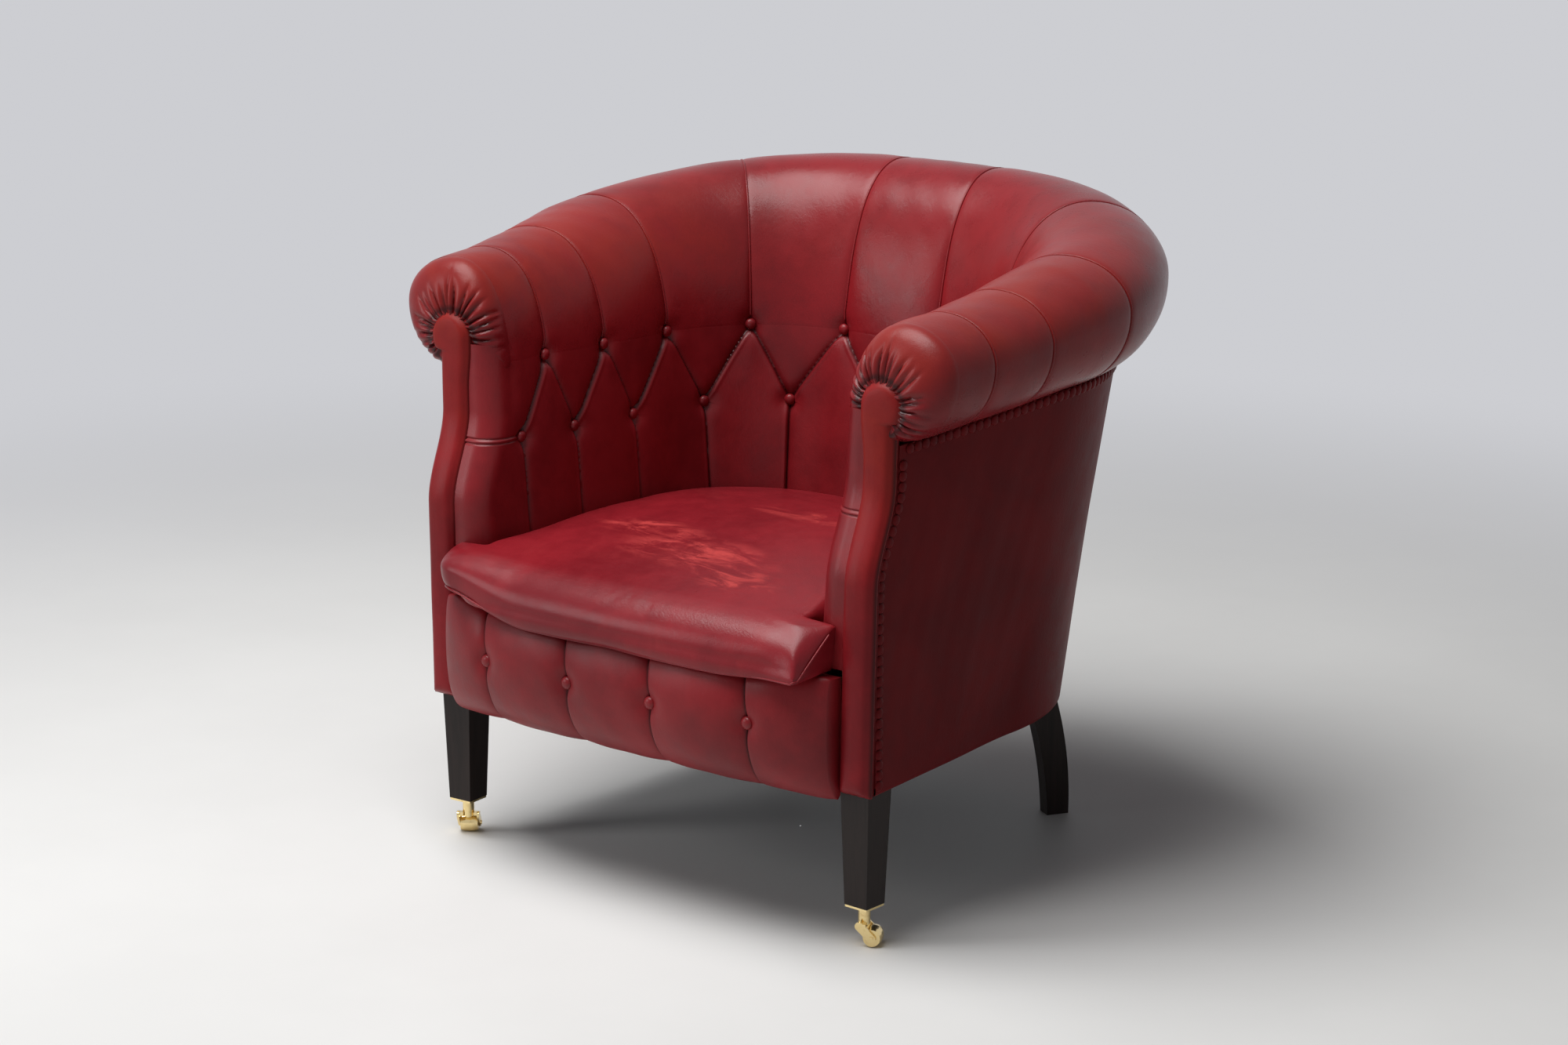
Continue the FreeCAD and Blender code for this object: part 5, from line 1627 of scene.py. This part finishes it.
@dataclass
class Facings:
    """Padded leather tongues on the arm fronts, with round heads and double welts."""

    tub: Tub
    fitter: Fitter
    thickness: float = 10.0
    neck_z: float = 522.0
    throat_top: float = 12.0
    flare_low: float = 22.0
    flare_top: float = 14.0
    foot_rows: int = 110
    neck_rows: int = 30
    head_rows: int = 26
    columns: int = 33
    edge: float = 9.5
    crown: float = 3.2
    shadow_line: float = 0.7
    welt_radius: float = 1.45

    def sides(self, z: Array) -> tuple[Array, Array]:
        """Edges of the tongue.

        Args:
            z: Heights.

        Returns:
            Sideways places of the inner and the outer edge.
        """
        tub = self.tub
        splay = tub.facing_splay * (z - tub.panel_foot_z) / (tub.head_z - tub.panel_foot_z)
        inner = tub.facing_inner + splay
        outer = tub.facing_inner + tub.facing_width + splay
        up = np.clip((z - tub.head_z) / tub.head_radius, -1.0, 1.0)
        round_half = tub.head_radius * np.sqrt(1 - up**2)
        above = z > tub.head_z
        head_in, head_out = tub.head_x - round_half, tub.head_x + round_half
        throat = smooth(z, self.neck_z, tub.head_z - self.throat_top)
        drawn = inner * (1 - throat) + (tub.head_x - tub.head_radius) * throat
        flare = np.where(np.abs(up) < 1, head_out, 0.0)
        flare = flare * smooth(z, self.neck_z + self.flare_low, tub.head_z - self.flare_top)
        return (np.where(above, head_in, np.minimum(inner, drawn)),
                np.where(above, head_out, np.maximum(outer, flare)))

    def tongue(self, side: Side) -> None:
        """Make one facing.

        Args:
            side: Side of the facing.
        """
        tub = self.tub
        z = np.concatenate([np.linspace(tub.panel_foot_z, self.neck_z, self.foot_rows)[:-1],
                            np.linspace(self.neck_z, tub.head_z, self.neck_rows)[:-1],
                            tub.head_z + tub.head_radius * np.sin(np.linspace(0, QUARTER, self.head_rows))])
        inner, outer = self.sides(z)
        u = np.sin(np.linspace(-QUARTER, QUARTER, self.columns))[None, :]
        middle, half = ((inner + outer) / 2)[:, None], ((outer - inner) / 2)[:, None]
        x = middle + half * u
        level = np.broadcast_to(z[:, None], x.shape)
        round_gap = tub.head_radius - np.hypot(x - tub.head_x, level - tub.head_z)
        gap = np.where(level > tub.head_z, round_gap, half * (1 - np.abs(u)))
        gap = np.maximum(np.minimum(gap, level - tub.panel_foot_z + 0.6), 0.0)
        bite = np.clip(1 - gap / self.edge, 0.0, 1.0)
        full = 1 - np.exp(-np.maximum(gap - self.edge * 0.4, 0.0) / 6.0)
        plain = tub.face_y + tub.front(level)
        y = plain + self.edge * (1 - np.sqrt(1 - bite**2)) + self.crown * (0.55 - full)
        y = y + 0.35 * wobble(level + x * 2.0, 33)
        front, back = (np.stack([x, depth, level], -1) for depth in (y, plain + self.thickness))
        shell = Shell().slab(front, back, self.shadow_line * (1.0 - smooth(gap, 0.2, 2.4))).on(side)
        self.fitter.fit(shell, f"facing_{side.word}_padded", "facing_leather", fill=0.95)

    def welts(self, side: Side) -> None:
        """Make the double welt behind one facing's outer edge.

        Args:
            side: Side of the facing.
        """
        tub, radius, shell = self.tub, self.welt_radius, Shell()
        z = np.linspace(tub.panel_foot_z + 1.6, tub.head_z - tub.head_radius - 1.0, 120)
        outer = np.minimum(self.sides(z)[1], tub.facing_inner + tub.facing_width + tub.facing_splay)
        for place in (0.0, 1.0):
            y = tub.face_y + tub.front(z) + self.thickness + radius * (1 + 1.9 * place) + 0.2
            shell.tube(np.stack([outer - radius * 1.2 - 0.3 * place, y, z], -1), radius, 10)
        self.fitter.fit(shell.on(side), f"facing_piping_{side.word}_double", "piping_leather")

    def build(self) -> None:
        """Make both facings and their welts."""
        for side in Side:
            self.tongue(side)
            self.welts(side)


# Front border


@dataclass
class Border:
    """Buttoned and pleated border under the cushion."""

    tub: Tub
    fitter: Fitter
    half: float = 266.8
    foot_z: float = 164.0
    top_z: float = 296.0
    belly: float = 54.0
    end_belly: float = 14.0
    button_z: float = 242.0
    wide_rise: float = 8.0
    top_share: float = 0.55
    back_depth: float = 10.0
    foot_draw: float = 4.0
    low_share: float = 0.60
    rows: int = 74
    columns: int = 640
    buttons_x: tuple[float, ...] = (58.0, 182.0)
    button_dip: float = 5.5
    button_reach: float = 13.0
    button_seat: float = 6.2
    end_drop: float = 3.0
    pleat_bow: float = 11.0
    pleat_rise: float = 62.0
    depth: float = 4.3
    fullness: float = 3.8
    sharp: float = 1.1
    soft: float = 5.0
    # Strength and width of the painted shade along each pleat.
    fold_depth: float = 1.0
    fold_width: float = 1.7
    button_radius: float = 7.3
    button_height: float = 5.2

    def bellied(self, x: Array) -> Array:
        """How far the border stands out at sideways places x."""
        return self.belly - (self.belly - self.end_belly) * np.abs(x / self.half) ** 4

    def section(self, x: Array, share: Array) -> tuple[Array, Array]:
        """Depth and height of the plain border.

        Args:
            x: Sideways places.
            share: 0 at the foot, 1 at the top.

        Returns:
            y and z.
        """
        belly, face_y = self.bellied(x), self.tub.face_y
        foot_y = face_y + self.back_depth - self.foot_draw
        front, top_y = face_y - belly, face_y - belly * self.top_share
        wide_z, split = self.button_z + self.wide_rise, self.low_share
        turn = np.clip(share / split, 0, 1) * QUARTER
        low_y = foot_y + (front - foot_y) * np.sin(turn) ** 0.92
        low_z = wide_z - (wide_z - self.foot_z) * np.cos(turn) ** 0.96
        turn = np.clip((share - split) / (1 - split), 0, 1) * QUARTER
        high_y = front + (top_y - front) * (1 - np.cos(turn))
        high_z = wide_z + (self.top_z - wide_z) * np.sin(turn)
        low = share < split
        return np.where(low, low_y, high_y), np.where(low, low_z, high_z)

    def relief(self, x: Array, z: Array) -> tuple[Array, Array]:
        """Shape of the leather over the plain border.

        Args:
            x: Sideways places.
            z: Heights.

        Returns:
            Its height in millimetres, and the painted shade at each place, deepest in a fold, from 0 to 1.
        """
        bow = self.pleat_bow * (np.maximum(z - self.button_z, 0.0) / self.pleat_rise) ** 2
        near, signed, dips = np.full(x.shape, FAR), np.zeros(x.shape), np.zeros(x.shape)
        for place in both_ways(self.buttons_x):
            gap = x - (place - bow)
            closer = np.abs(gap) < near
            near, signed = np.where(closer, np.abs(gap), near), np.where(closer, gap, signed)
            away = np.hypot(x - place, z - self.button_z)
            dips = np.maximum(dips, self.button_dip * np.exp(-((away / self.button_reach) ** 2)))
        ends = np.exp(-(self.half - np.abs(x)) / 5.0) * self.end_drop
        side = np.where(signed > 0, self.sharp, self.soft)
        fade = 0.35 + 0.65 * smooth(z, self.foot_z, self.foot_z + 36.0)
        full = self.fullness * fade * (1 - np.exp(-((near / 24.0) ** 1.5)))
        drawn = fade * self.depth * np.exp(-near / side)
        height = full - drawn - dips - ends + 0.5 * wobble(x * 1.4 + z, 51)
        # Painted shade: a thin dark line along each pleat, weaker near the foot.
        return height, self.fold_depth * np.exp(-((near / self.fold_width) ** 2)) * fade

    def build(self) -> None:
        """Make the border and its buttons."""
        across = np.linspace(-self.half, self.half, self.columns)
        wide, rows = np.meshgrid(across, np.linspace(0.0, 1.0, self.rows))
        y, z = self.section(wide, rows)
        dy, dz = np.gradient(y, axis=0), np.gradient(z, axis=0)
        size = np.hypot(dy, dz)
        relief, fold = self.relief(wide, z)
        relief = relief * smooth(rows, 0.0, 0.05)
        face = np.stack([wide, y - dz / size * relief, z + dy / size * relief], -1)
        depth = np.full(wide.shape, self.tub.face_y + self.back_depth)
        back = np.stack([wide, depth, np.maximum(z, self.foot_z + self.foot_draw)], -1)
        shell = Shell().slab(face, back, fold)
        self.fitter.fit(shell, "front_border_pleated", "border_leather", fill=0.85)
        buttons = Shell()
        for place in both_ways(self.buttons_x):
            y = self.tub.face_y - self.bellied(place) + self.button_seat
            seat = np.array([place, y, self.button_z])
            buttons.dome(seat, FORWARD, self.button_radius, self.button_height)
        self.fitter.fit(buttons, "border_buttons_covered", "button_leather")


# Seat cushion


@dataclass
class Cushion:
    """Loose crowned seat cushion with a drooping front lip."""

    tub: Tub
    fitter: Fitter
    lip: float = 60.0
    lip_bow: float = 14.0
    lip_half: float = 262.0
    notch_depth: float = 7.0
    clearance: float = 3.5
    side_wide_z: float = 336.0
    side_pull: float = 8.0
    base_z: float = 301.0
    crown_z: float = 388.0
    side_z: float = 352.0
    nose_z: float = 347.0
    back_z: float = 366.0
    peak: float = 0.62
    corner_full: float = 5.0
    nose_low: float = 293.0
    nose_high: float = 22.0
    heel_rise: float = 13.0
    around: int = 640
    top_rings: int = 84
    side_rings: int = 12
    base_rings: int = 30
    middle: tuple[float, float] = (0.0, -301.0)
    tip: tuple[float, float] = (252.0, -346.0)
    cheek_y: float = -290.0
    round_corner: float = 34.0
    welt_radius: float = 1.2
    voxel: float = 0.006
    pressure: float = 4.0
    frames: int = 20
    press_cap: float = 2.2

    def front_y(self, x: Array) -> Array:
        """Depth of the front edge at sideways places x."""
        flare = 6.0 * np.exp(-(((x - self.tip[0]) / 24.0) ** 2))
        return self.tub.face_y - self.lip + self.lip_bow * (x / self.lip_half) ** 2 - flare

    def outline(self) -> list[Array]:
        """Draw the plan of the cushion.

        Returns:
            Four parts of one loop: from the sitter's right notch round the back to the left one,
            down the left cheek, along the front, and back up the right cheek.
        """
        tub = self.tub
        t = np.linspace(-3.0, 3.0, 420)
        back = tub.point(t, tub.inner_n(t, self.side_wide_z + 0 * t) - self.clearance, 0 * t)[:, :2]
        notch_y = tub.face_y + self.notch_depth
        back = back[back[:, 1] > notch_y]
        heels = [np.array([side * self.lip_half, notch_y]) for side in (-1.0, 1.0)]
        feet = [np.array([back[k, 0], notch_y]) for k in (0, -1)]
        share = np.linspace(0.0, 1.0, 14)[:, None]
        back = np.concatenate([heels[0] * (1 - share) + feet[0] * share, back,
                               feet[1] * (1 - share) + heels[1] * share])
        tip = np.array([self.tip[0], float(self.front_y(np.array(self.tip[0])))])
        left = heels[1] * (1 - share) + tip * share
        start = -self.lip_half + self.round_corner
        x = np.linspace(self.tip[0], start, 160)
        front = np.column_stack([x, self.front_y(x)])
        turn = np.linspace(0.0, QUARTER, 30)[:, None]
        centre = np.array([start, float(self.front_y(np.array(start))) + self.round_corner])
        bend = centre + self.round_corner * np.concatenate([-np.sin(turn), -np.cos(turn)], axis=1)
        right = np.concatenate([bend[15:], bend[-1] * (1 - share) + heels[0] * share])
        front = np.concatenate([front, bend[:16]])
        return [back, left, front, right]

    def loop(self) -> Array:
        """Space the outline evenly.

        Returns:
            Its points.
        """
        line = np.concatenate(self.outline())
        closed = np.concatenate([line, line[:1]])
        way = np.concatenate([[0.0], np.cumsum(np.linalg.norm(np.diff(closed, axis=0), axis=1))])
        wanted = np.linspace(0.0, way[-1], self.around, endpoint=False)
        return np.stack([np.interp(wanted, way, closed[:, k]) for k in (0, 1)], -1)

    def edge_gap(self, spots: Array) -> Array:
        """Measure the way to the edge, eased where two sides meet.

        Args:
            spots: Places in the plan.

        Returns:
            Millimetres to the edge.
        """
        total = np.zeros(len(spots))
        for part in self.outline():
            start, run = part[:-1], np.diff(part, axis=0)
            size = np.maximum((run**2).sum(1), 1e-9)
            best = np.full(len(spots), FAR)
            for a, d, q in zip(start, run, size):
                share = np.clip((spots - a) @ d / q, 0.0, 1.0)[:, None]
                best = np.minimum(best, ((spots - a - share * d) ** 2).sum(1))
            total += (np.sqrt(best) + 0.02) ** -3.0
        return total ** (-1 / 3.0) - 0.02

    def crown(self, x: Array, y: Array) -> Array:
        """Height of the crowned top.

        Args:
            x: Sideways places.
            y: Depths.

        Returns:
            The heights.
        """
        front = self.tub.face_y - self.lip
        back = self.tub.point(0.0, self.tub.inner_foot[0], 0.0)[1]
        along = (y - front) / (back - front)
        rise = np.sin(QUARTER * np.clip(along / self.peak, 0, 1)) ** 1.15
        drop = (np.maximum(along - self.peak, 0.0) / (1.0 - self.peak)) ** 1.8
        spine = np.where(along > self.peak, self.crown_z - (self.crown_z - self.back_z) * drop,
                         self.nose_z + (self.crown_z - self.nose_z) * rise)
        side = np.clip(np.abs(x) / self.lip_half, 0, 1.1)
        fall = (self.crown_z - self.side_z) * side**2.4 * np.clip(along * 1.7, 0, 1)
        full = self.corner_full * smooth(-x, 130.0, 235.0) * (1.0 - smooth(y, -286.0, -190.0))
        return spine - fall * 0.85 + full

    def rim(self, loop: Array) -> tuple[Array, Array, Array, Array]:
        """Heights and shape of the edge round the outline.

        Args:
            loop: Points of the outline.

        Returns:
            Height of the widest line, height of the lower edge, how far the lower edge is
            drawn in, and how wide the edge is rounded over.
        """
        x, y = loop[:, 0], loop[:, 1]
        front = np.clip((self.cheek_y - y) / 50.0, 0.0, 1.0)
        front = np.where(x < 0, smooth(front, 0.0, 1.0), front)
        right, left, pinch = smooth(-x, 120.0, 255.0), smooth(x, 150.0, 250.0), smooth(x, 205.0, 251.0)
        low = self.base_z * (1 - front) + front * (self.nose_low + 25.0 * right + 6.0 * left)
        wide = self.side_wide_z * (1 - front) + front * (low + self.nose_high - 2.0 * right - 19.5 * pinch)
        pull = self.side_pull * (1 - front) + front * (11.0 - 2.0 * right - 10.0 * pinch)
        over = 15.0 * (1 - front) + front * (44.0 - 18.0 * right + 6.0 * pinch)
        heel = (1.0 - smooth(y, -276.0, -240.0)) * (1.0 - front)
        return wide + self.heel_rise * heel, low, pull, over - 9.0 * heel

    @staticmethod
    def spread(values: Sequence[Array], loop: Array, spots: Array) -> list[Array]:
        """Carry sizes of the edge inward, each place taking those of the edge nearest to it.

        Args:
            values: Sizes round the outline.
            loop: Points of the outline.
            spots: Places inside.

        Returns:
            The sizes at the places.
        """
        flat = spots.reshape(-1, 2)
        found = np.empty((len(values), len(flat)))
        table = np.stack(values)
        for first in range(0, len(flat), 4000):
            part = flat[first:first + 4000]
            weight = (((part[:, None] - loop[None]) ** 2).sum(-1) + 9.0**2) ** -3.0
            found[:, first:first + 4000] = table @ (weight / weight.sum(1, keepdims=True)).T
        return [row.reshape(spots.shape[:-1]) for row in found]

    def body(self) -> Array:
        """Shape the closed surface.

        Returns:
            Rings from the middle of the top round to the middle of the base.
        """
        loop = self.loop()
        centre = np.array(self.middle)
        wide, low, pull, over = self.rim(loop)
        arm = loop - centre
        share = 1.0 - np.linspace(1.0, 0.0, self.top_rings) ** 2.1
        spots = centre + arm[None] * share[:, None, None]
        gap = self.edge_gap(spots.reshape(-1, 2)).reshape(len(share), -1)
        gap[-1] = 0.0
        top = self.crown(spots[..., 0], spots[..., 1])
        level, reach = self.spread((wide, over), loop, spots)
        wide = level[-1]
        bite = np.clip(1.0 - gap / reach, 0.0, 1.0)
        z = level + (top - level) * np.sqrt(np.maximum(1.0 - bite**2, 0.0))
        rings = [np.concatenate([spots, z[..., None]], -1)]
        turn = np.linspace(0.0, QUARTER, self.side_rings)[1:, None]
        spot = loop - unit(arm) * (pull * (1.0 - np.cos(turn)))[..., None]
        rings.append(np.concatenate([spot, (wide - (wide - low) * np.sin(turn))[..., None]], -1))
        share = np.linspace(1.0, 0.0, self.base_rings)[1:, None]
        spot = centre + (spot[-1] - centre)[None] * share[..., None]
        hang = smooth(share, 0.86, 1.0)
        rings.append(np.concatenate([spot, (low * hang + self.base_z * (1 - hang))[..., None]], -1))
        return np.concatenate(rings)

    def puffed(self, mesh: Mesh) -> None:
        """Let the stuffing press the cover out, by a short cloth simulation on an even copy.

        Args:
            mesh: The plain cushion, whose points take the copy's movement.
        """
        scene = bpy.context.scene
        plain = placed("cushion_trial", mesh.copy())
        even = plain.modifiers.new("even", "REMESH")
        even.mode = "VOXEL"
        even.voxel_size = self.voxel
        graph = bpy.context.evaluated_depsgraph_get()
        trial = bpy.data.meshes.new_from_object(plain.evaluated_get(graph))
        plain.modifiers.clear()
        plain.data = trial
        start = points_of(trial)
        cloth = plain.modifiers.new("pressed", "CLOTH")
        cloth.settings.quality = 4
        cloth.settings.use_pressure = True
        cloth.settings.uniform_pressure_force = self.pressure
        cloth.settings.effector_weights.gravity = 0.0
        for frame in range(1, self.frames + 1):
            scene.frame_set(frame)
        graph = bpy.context.evaluated_depsgraph_get()
        move = points_of(plain.evaluated_get(graph).data) - start
        scene.frame_set(1)
        bpy.data.objects.remove(plain)
        size = np.linalg.norm(move, axis=1, keepdims=True)
        cap = self.press_cap * MM
        move = move * (cap * np.tanh(size / cap) / np.maximum(size, 1e-9))
        tree = KDTree(len(start))
        for index, place in enumerate(start):
            tree.insert(place, index)
        tree.balance()
        points = points_of(mesh)
        moved = points.copy()
        for index, place in enumerate(points):
            near = tree.find_n(place, 4)
            weights = np.array([1.0 / (gap + 1e-4) for _, _, gap in near])
            moved[index] += (weights[:, None] * move[[k for _, k, _ in near]]).sum(0) / weights.sum()
        free = smooth(points[:, 2] / MM, self.base_z + 1.0, self.base_z + 12.0)[:, None]
        mesh.vertices.foreach_set("co", (points + (moved - points) * free).ravel())
        mesh.update()

    def welts(self) -> Array:
        """Draw the middle line of the welt along the front's lower edge.

        Returns:
            Points from the left tip round the right corner.
        """
        loop = self.loop()
        wide, low, pull, _ = self.rim(loop)
        edge = loop - unit(loop - np.array(self.middle)) * pull[:, None]
        keep = np.where(loop[:, 1] < self.cheek_y - 4.0)[0]
        cheek = loop[keep, 0] > self.tip[0] - 0.5
        line = np.column_stack([edge[keep], low[keep]])
        line[cheek] = np.column_stack([loop[keep], wide[keep]])[cheek]
        return line

    def build(self) -> None:
        """Make the cushion."""
        mesh = Shell().sheet(self.body(), around=True).mesh("seat_cushion_leather", weld=0.01)
        self.puffed(mesh)
        welt = Shell().tube(self.welts(), self.welt_radius).mesh("seat_cushion_welt")
        joined = bmesh.new()
        joined.from_mesh(mesh)
        joined.from_mesh(welt)
        joined.to_mesh(mesh)
        joined.free()
        self.fitter.fit(mesh, "seat_cushion_leather", "seat_leather", body=Body.CUSHION, fill=0.75)


# Seat inside and hardware


@dataclass
class Seat:
    """Soft layers that the cushion and padding hide: deck, spring cover, dust cover and webbing."""

    tub: Tub
    fitter: Fitter
    deck_low: float = 265.6
    deck_top: float = 299.6
    deck_front: float = 10.6
    deck_gap: float = 0.8
    deck_round: float = 6.0
    jute_top: float = 0.5
    jute_foot: float = 2.0
    dust_z: float = 175.8
    dust_sag: float = 3.0
    dust_inset: float = 12.0
    dust_thick: float = 1.0
    web_width: float = 50.0
    web_depths: tuple[float, float] = (41.0, 42.6)

    def plan(self, n_at: Callable[[Array], Array], front_y: float, count: int = 200) -> Array:
        """Outline that follows the tub and is cut straight across in front.

        Args:
            n_at: Distance from the crest at stations.
            front_y: Depth of the front edge.
            count: Points round the tub.

        Returns:
            Points x, y.
        """
        t = np.linspace(-3.3, 3.3, count)
        line = self.tub.point(t, n_at(t), 0 * t)[:, :2]
        keep = line[line[:, 1] > front_y]
        ends = []
        for k, j in ((0, 4), (-1, -5)):
            slope = (keep[k, 0] - keep[j, 0]) / (keep[k, 1] - keep[j, 1])
            ends.append(np.array([keep[k, 0] + slope * (front_y - keep[k, 1]), front_y]))
        front = np.linspace(0, 1, 60)[1:-1, None]
        return np.concatenate([[ends[0]], keep, [ends[1]], ends[1] * (1 - front) + ends[0] * front])

    def slab(self, loop: Array, low: Callable[[Array], Array], high: Callable[[Array], Array],
             name: str, slot: str, fill: float | None = None) -> Object:
        """Make a pad or sheet over an outline.

        Args:
            loop: Outline.
            low: Underside height over the share of the way from the middle to the edge.
            high: Top height over the same share.
            name: Name of the piece.
            slot: Material slot.
            fill: Fullness, if it is padded.

        Returns:
            The piece.
        """
        centre = loop.mean(0)
        shares = np.concatenate([np.linspace(0, 0.9, 16), [0.94, 0.97, 0.99, 1.0]])
        rings = []
        for surface, order in ((high, shares), (low, shares[::-1])):
            for share in order:
                level = surface(np.full(len(loop), share))
                rings.append(np.column_stack([centre + (loop - centre) * share, level]))
        return self.fitter.fit(Shell().sheet(np.array(rings), around=True), name, slot, fill=fill)

    def build(self) -> None:
        """Make the four soft layers."""
        tub, low = self.tub, self.deck_low
        front = tub.face_y + self.deck_front
        inner = self.plan(lambda t: tub.at(tub.inner_foot, t) - self.deck_gap, front)
        self.slab(inner, lambda s: low + 0 * s,
                  lambda s: self.deck_top - self.deck_round * smooth(s, 0.9, 1.0) ** 2,
                  "seat_deck_stuffed", "deck_wadding", fill=0.8)
        cover = self.slab(inner, lambda s: low - self.jute_foot + 0 * s,
                          lambda s: low - self.jute_top + 0 * s, "spring_cover_jute", "jute")
        under = self.plan(lambda t: tub.at(tub.panel_foot_out, t) - self.dust_inset, front)
        dust = self.slab(under, self.sagged, lambda s: self.sagged(s) + self.dust_thick,
                         "dust_cover_cloth", "dust_cloth")
        self.webbing()

    def sagged(self, share: Array) -> Array:
        """Underside of the dust cover over the share of the way from its middle to its edge."""
        return self.dust_z - self.dust_sag * (1 - share**4)

    def webbing(self) -> None:
        """Make the upright strips of webbing behind the padding."""
        tub, shell = self.tub, Shell()
        levels = np.linspace(tub.inner_foot_z + 1.0, tub.top_button_z - 6.0, 60)
        for t in both_ways(tub.lower_buttons[:-1]):
            half = self.web_width / 2 / float(tub.run(t, tub.inner_n(t, tub.lower_button_z)))
            wide, z = np.meshgrid(t + np.linspace(-half, half, 13), levels)
            for depth in self.web_depths:
                n = tub.inner_n(wide, z) + depth + 0.09 * np.sin(z * 0.9)
                shell.sheet(tub.point(wide, n, z))
        self.fitter.fit(shell, "back_webbing_strips", "jute")


@dataclass
class Hardware:
    """Carried-over nodes: legs, castors, beech frame, springs, and the hidden ones under covers."""

    finishes: Finishes
    nodes: dict[str, Object]
    slots: dict[str, str]
    edge_angle: float = 35.0
    rounding: dict[str, float] = field(default_factory=lambda: {
        "leg_wood": 0.0012, "castor_brass": 0.0004, "frame_beech": 0.0010})

    def build(self) -> None:
        """Dress each node, and ease the edges of those that still show."""
        for name, node in self.nodes.items():
            slot = self.slots[name]
            node.data.materials.clear()
            node.data.materials.append(self.finishes[slot])
            if node.hide_render:
                continue
            if slot in self.rounding:
                bevel = node.modifiers.new("eased_edges", "BEVEL")
                bevel.width = self.rounding[slot]
                bevel.segments = 3
                bevel.limit_method = "ANGLE"
                bevel.angle_limit = math.radians(self.edge_angle)
            log.info("%s dressed in %s", name, slot)


# Floor, light and camera


@dataclass
class Studio:
    """Floor and backdrop in one, two soft lamps, and the camera of the picture."""

    camera_place: tuple[float, float, float] = (2.3084, -3.0395, 1.3237)
    azimuth: float = 37.5343
    pitch: float = 14.1342
    roll: float = 0.361
    lens: float = 79.65
    floor_radius: float = 30.0
    sweep: Sweep = Sweep()

    def camera(self) -> None:
        """Place the camera."""
        data = bpy.data.cameras.new("picture_camera")
        data.sensor_width = 36.0
        data.lens = self.lens
        data.clip_end = 60.0
        turns = ((self.azimuth, "Z"), (90.0 - self.pitch, "X"), (self.roll, "Z"))
        heading, rise, tilt = (Matrix.Rotation(math.radians(angle), 4, axis) for angle, axis in turns)
        camera = placed("picture_camera", data)
        camera.matrix_world = Matrix.Translation(self.camera_place) @ heading @ rise @ tilt
        bpy.context.scene.camera = camera

    def floor(self) -> None:
        """Lay the floor as a wide disc under the chair."""
        turn = np.linspace(0.0, FULL_TURN, 96, endpoint=False)
        radius = np.array([0.001, 1.5, self.floor_radius])[:, None]
        grid = np.stack([radius * np.cos(turn), radius * np.sin(turn), 0.0 * radius * turn], -1)
        mesh = Shell().sheet(grid / MM, around=True).mesh("studio_floor")
        mesh.materials.append(self.sweep.make())
        placed("studio_floor", mesh)

    def lamp(self, name: str, place: Sequence[float], aim: Sequence[float], size: Sequence[float],
             power: float, colour: Colour = (1.0, 1.0, 1.0)) -> None:
        """Hang one soft lamp.

        Args:
            name: Its name.
            place: Where it hangs.
            aim: What it points at.
            size: Width and height.
            power: Power in watts.
            colour: Its colour.
        """
        data = bpy.data.lights.new(name, "AREA")
        data.shape = "RECTANGLE"
        data.size, data.size_y = size
        data.energy = power
        data.color = colour
        lamp = placed(name, data)
        lamp.location = place
        lamp.rotation_euler = (Vector(aim) - Vector(place)).to_track_quat("-Z", "Y").to_euler()

    def build(self) -> None:
        """Set the picture's view, floor and lights."""
        scene = bpy.context.scene
        scene.view_settings.view_transform = "Standard"
        self.camera()
        self.floor()
        scene.world = self.sweep.sky("studio_air", (0.86, 0.88, 0.92), 0.06)
        self.lamp("window_left", place=(-2.2, -2.75, 1.35), aim=(0.0, 0.0, 0.6), size=(0.95, 1.7),
                  power=26.0, colour=(0.98, 0.985, 1.0))
        self.lamp("overhead", place=(-0.5, -0.9, 3.1), aim=(-0.05, 0.0, 0.3), size=(2.2, 1.8), power=112.0)


# Making the chair


def main() -> None:
    """Build the chair's looks in order and report each piece."""
    logging.basicConfig(level=logging.INFO, format="%(name)s %(message)s")
    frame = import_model()
    slots = {part["node"]: part["material_slot"] for part in frame["record"]["subparts"]}
    finishes = Finishes()
    tub, fitter = Tub(), Fitter(finishes)
    pleats = Pleats(tub)
    RolledTop(tub, pleats, fitter).build()
    Inside(tub, pleats, fitter).build()
    Outside(tub, fitter).build()
    Facings(tub, fitter).build()
    Border(tub, fitter).build()
    Cushion(tub, fitter).build()
    Seat(tub, fitter).build()
    Hardware(finishes, frame["nodes"], slots).build()
    Studio().build()
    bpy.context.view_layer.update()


if __name__ == "__main__":
    main()
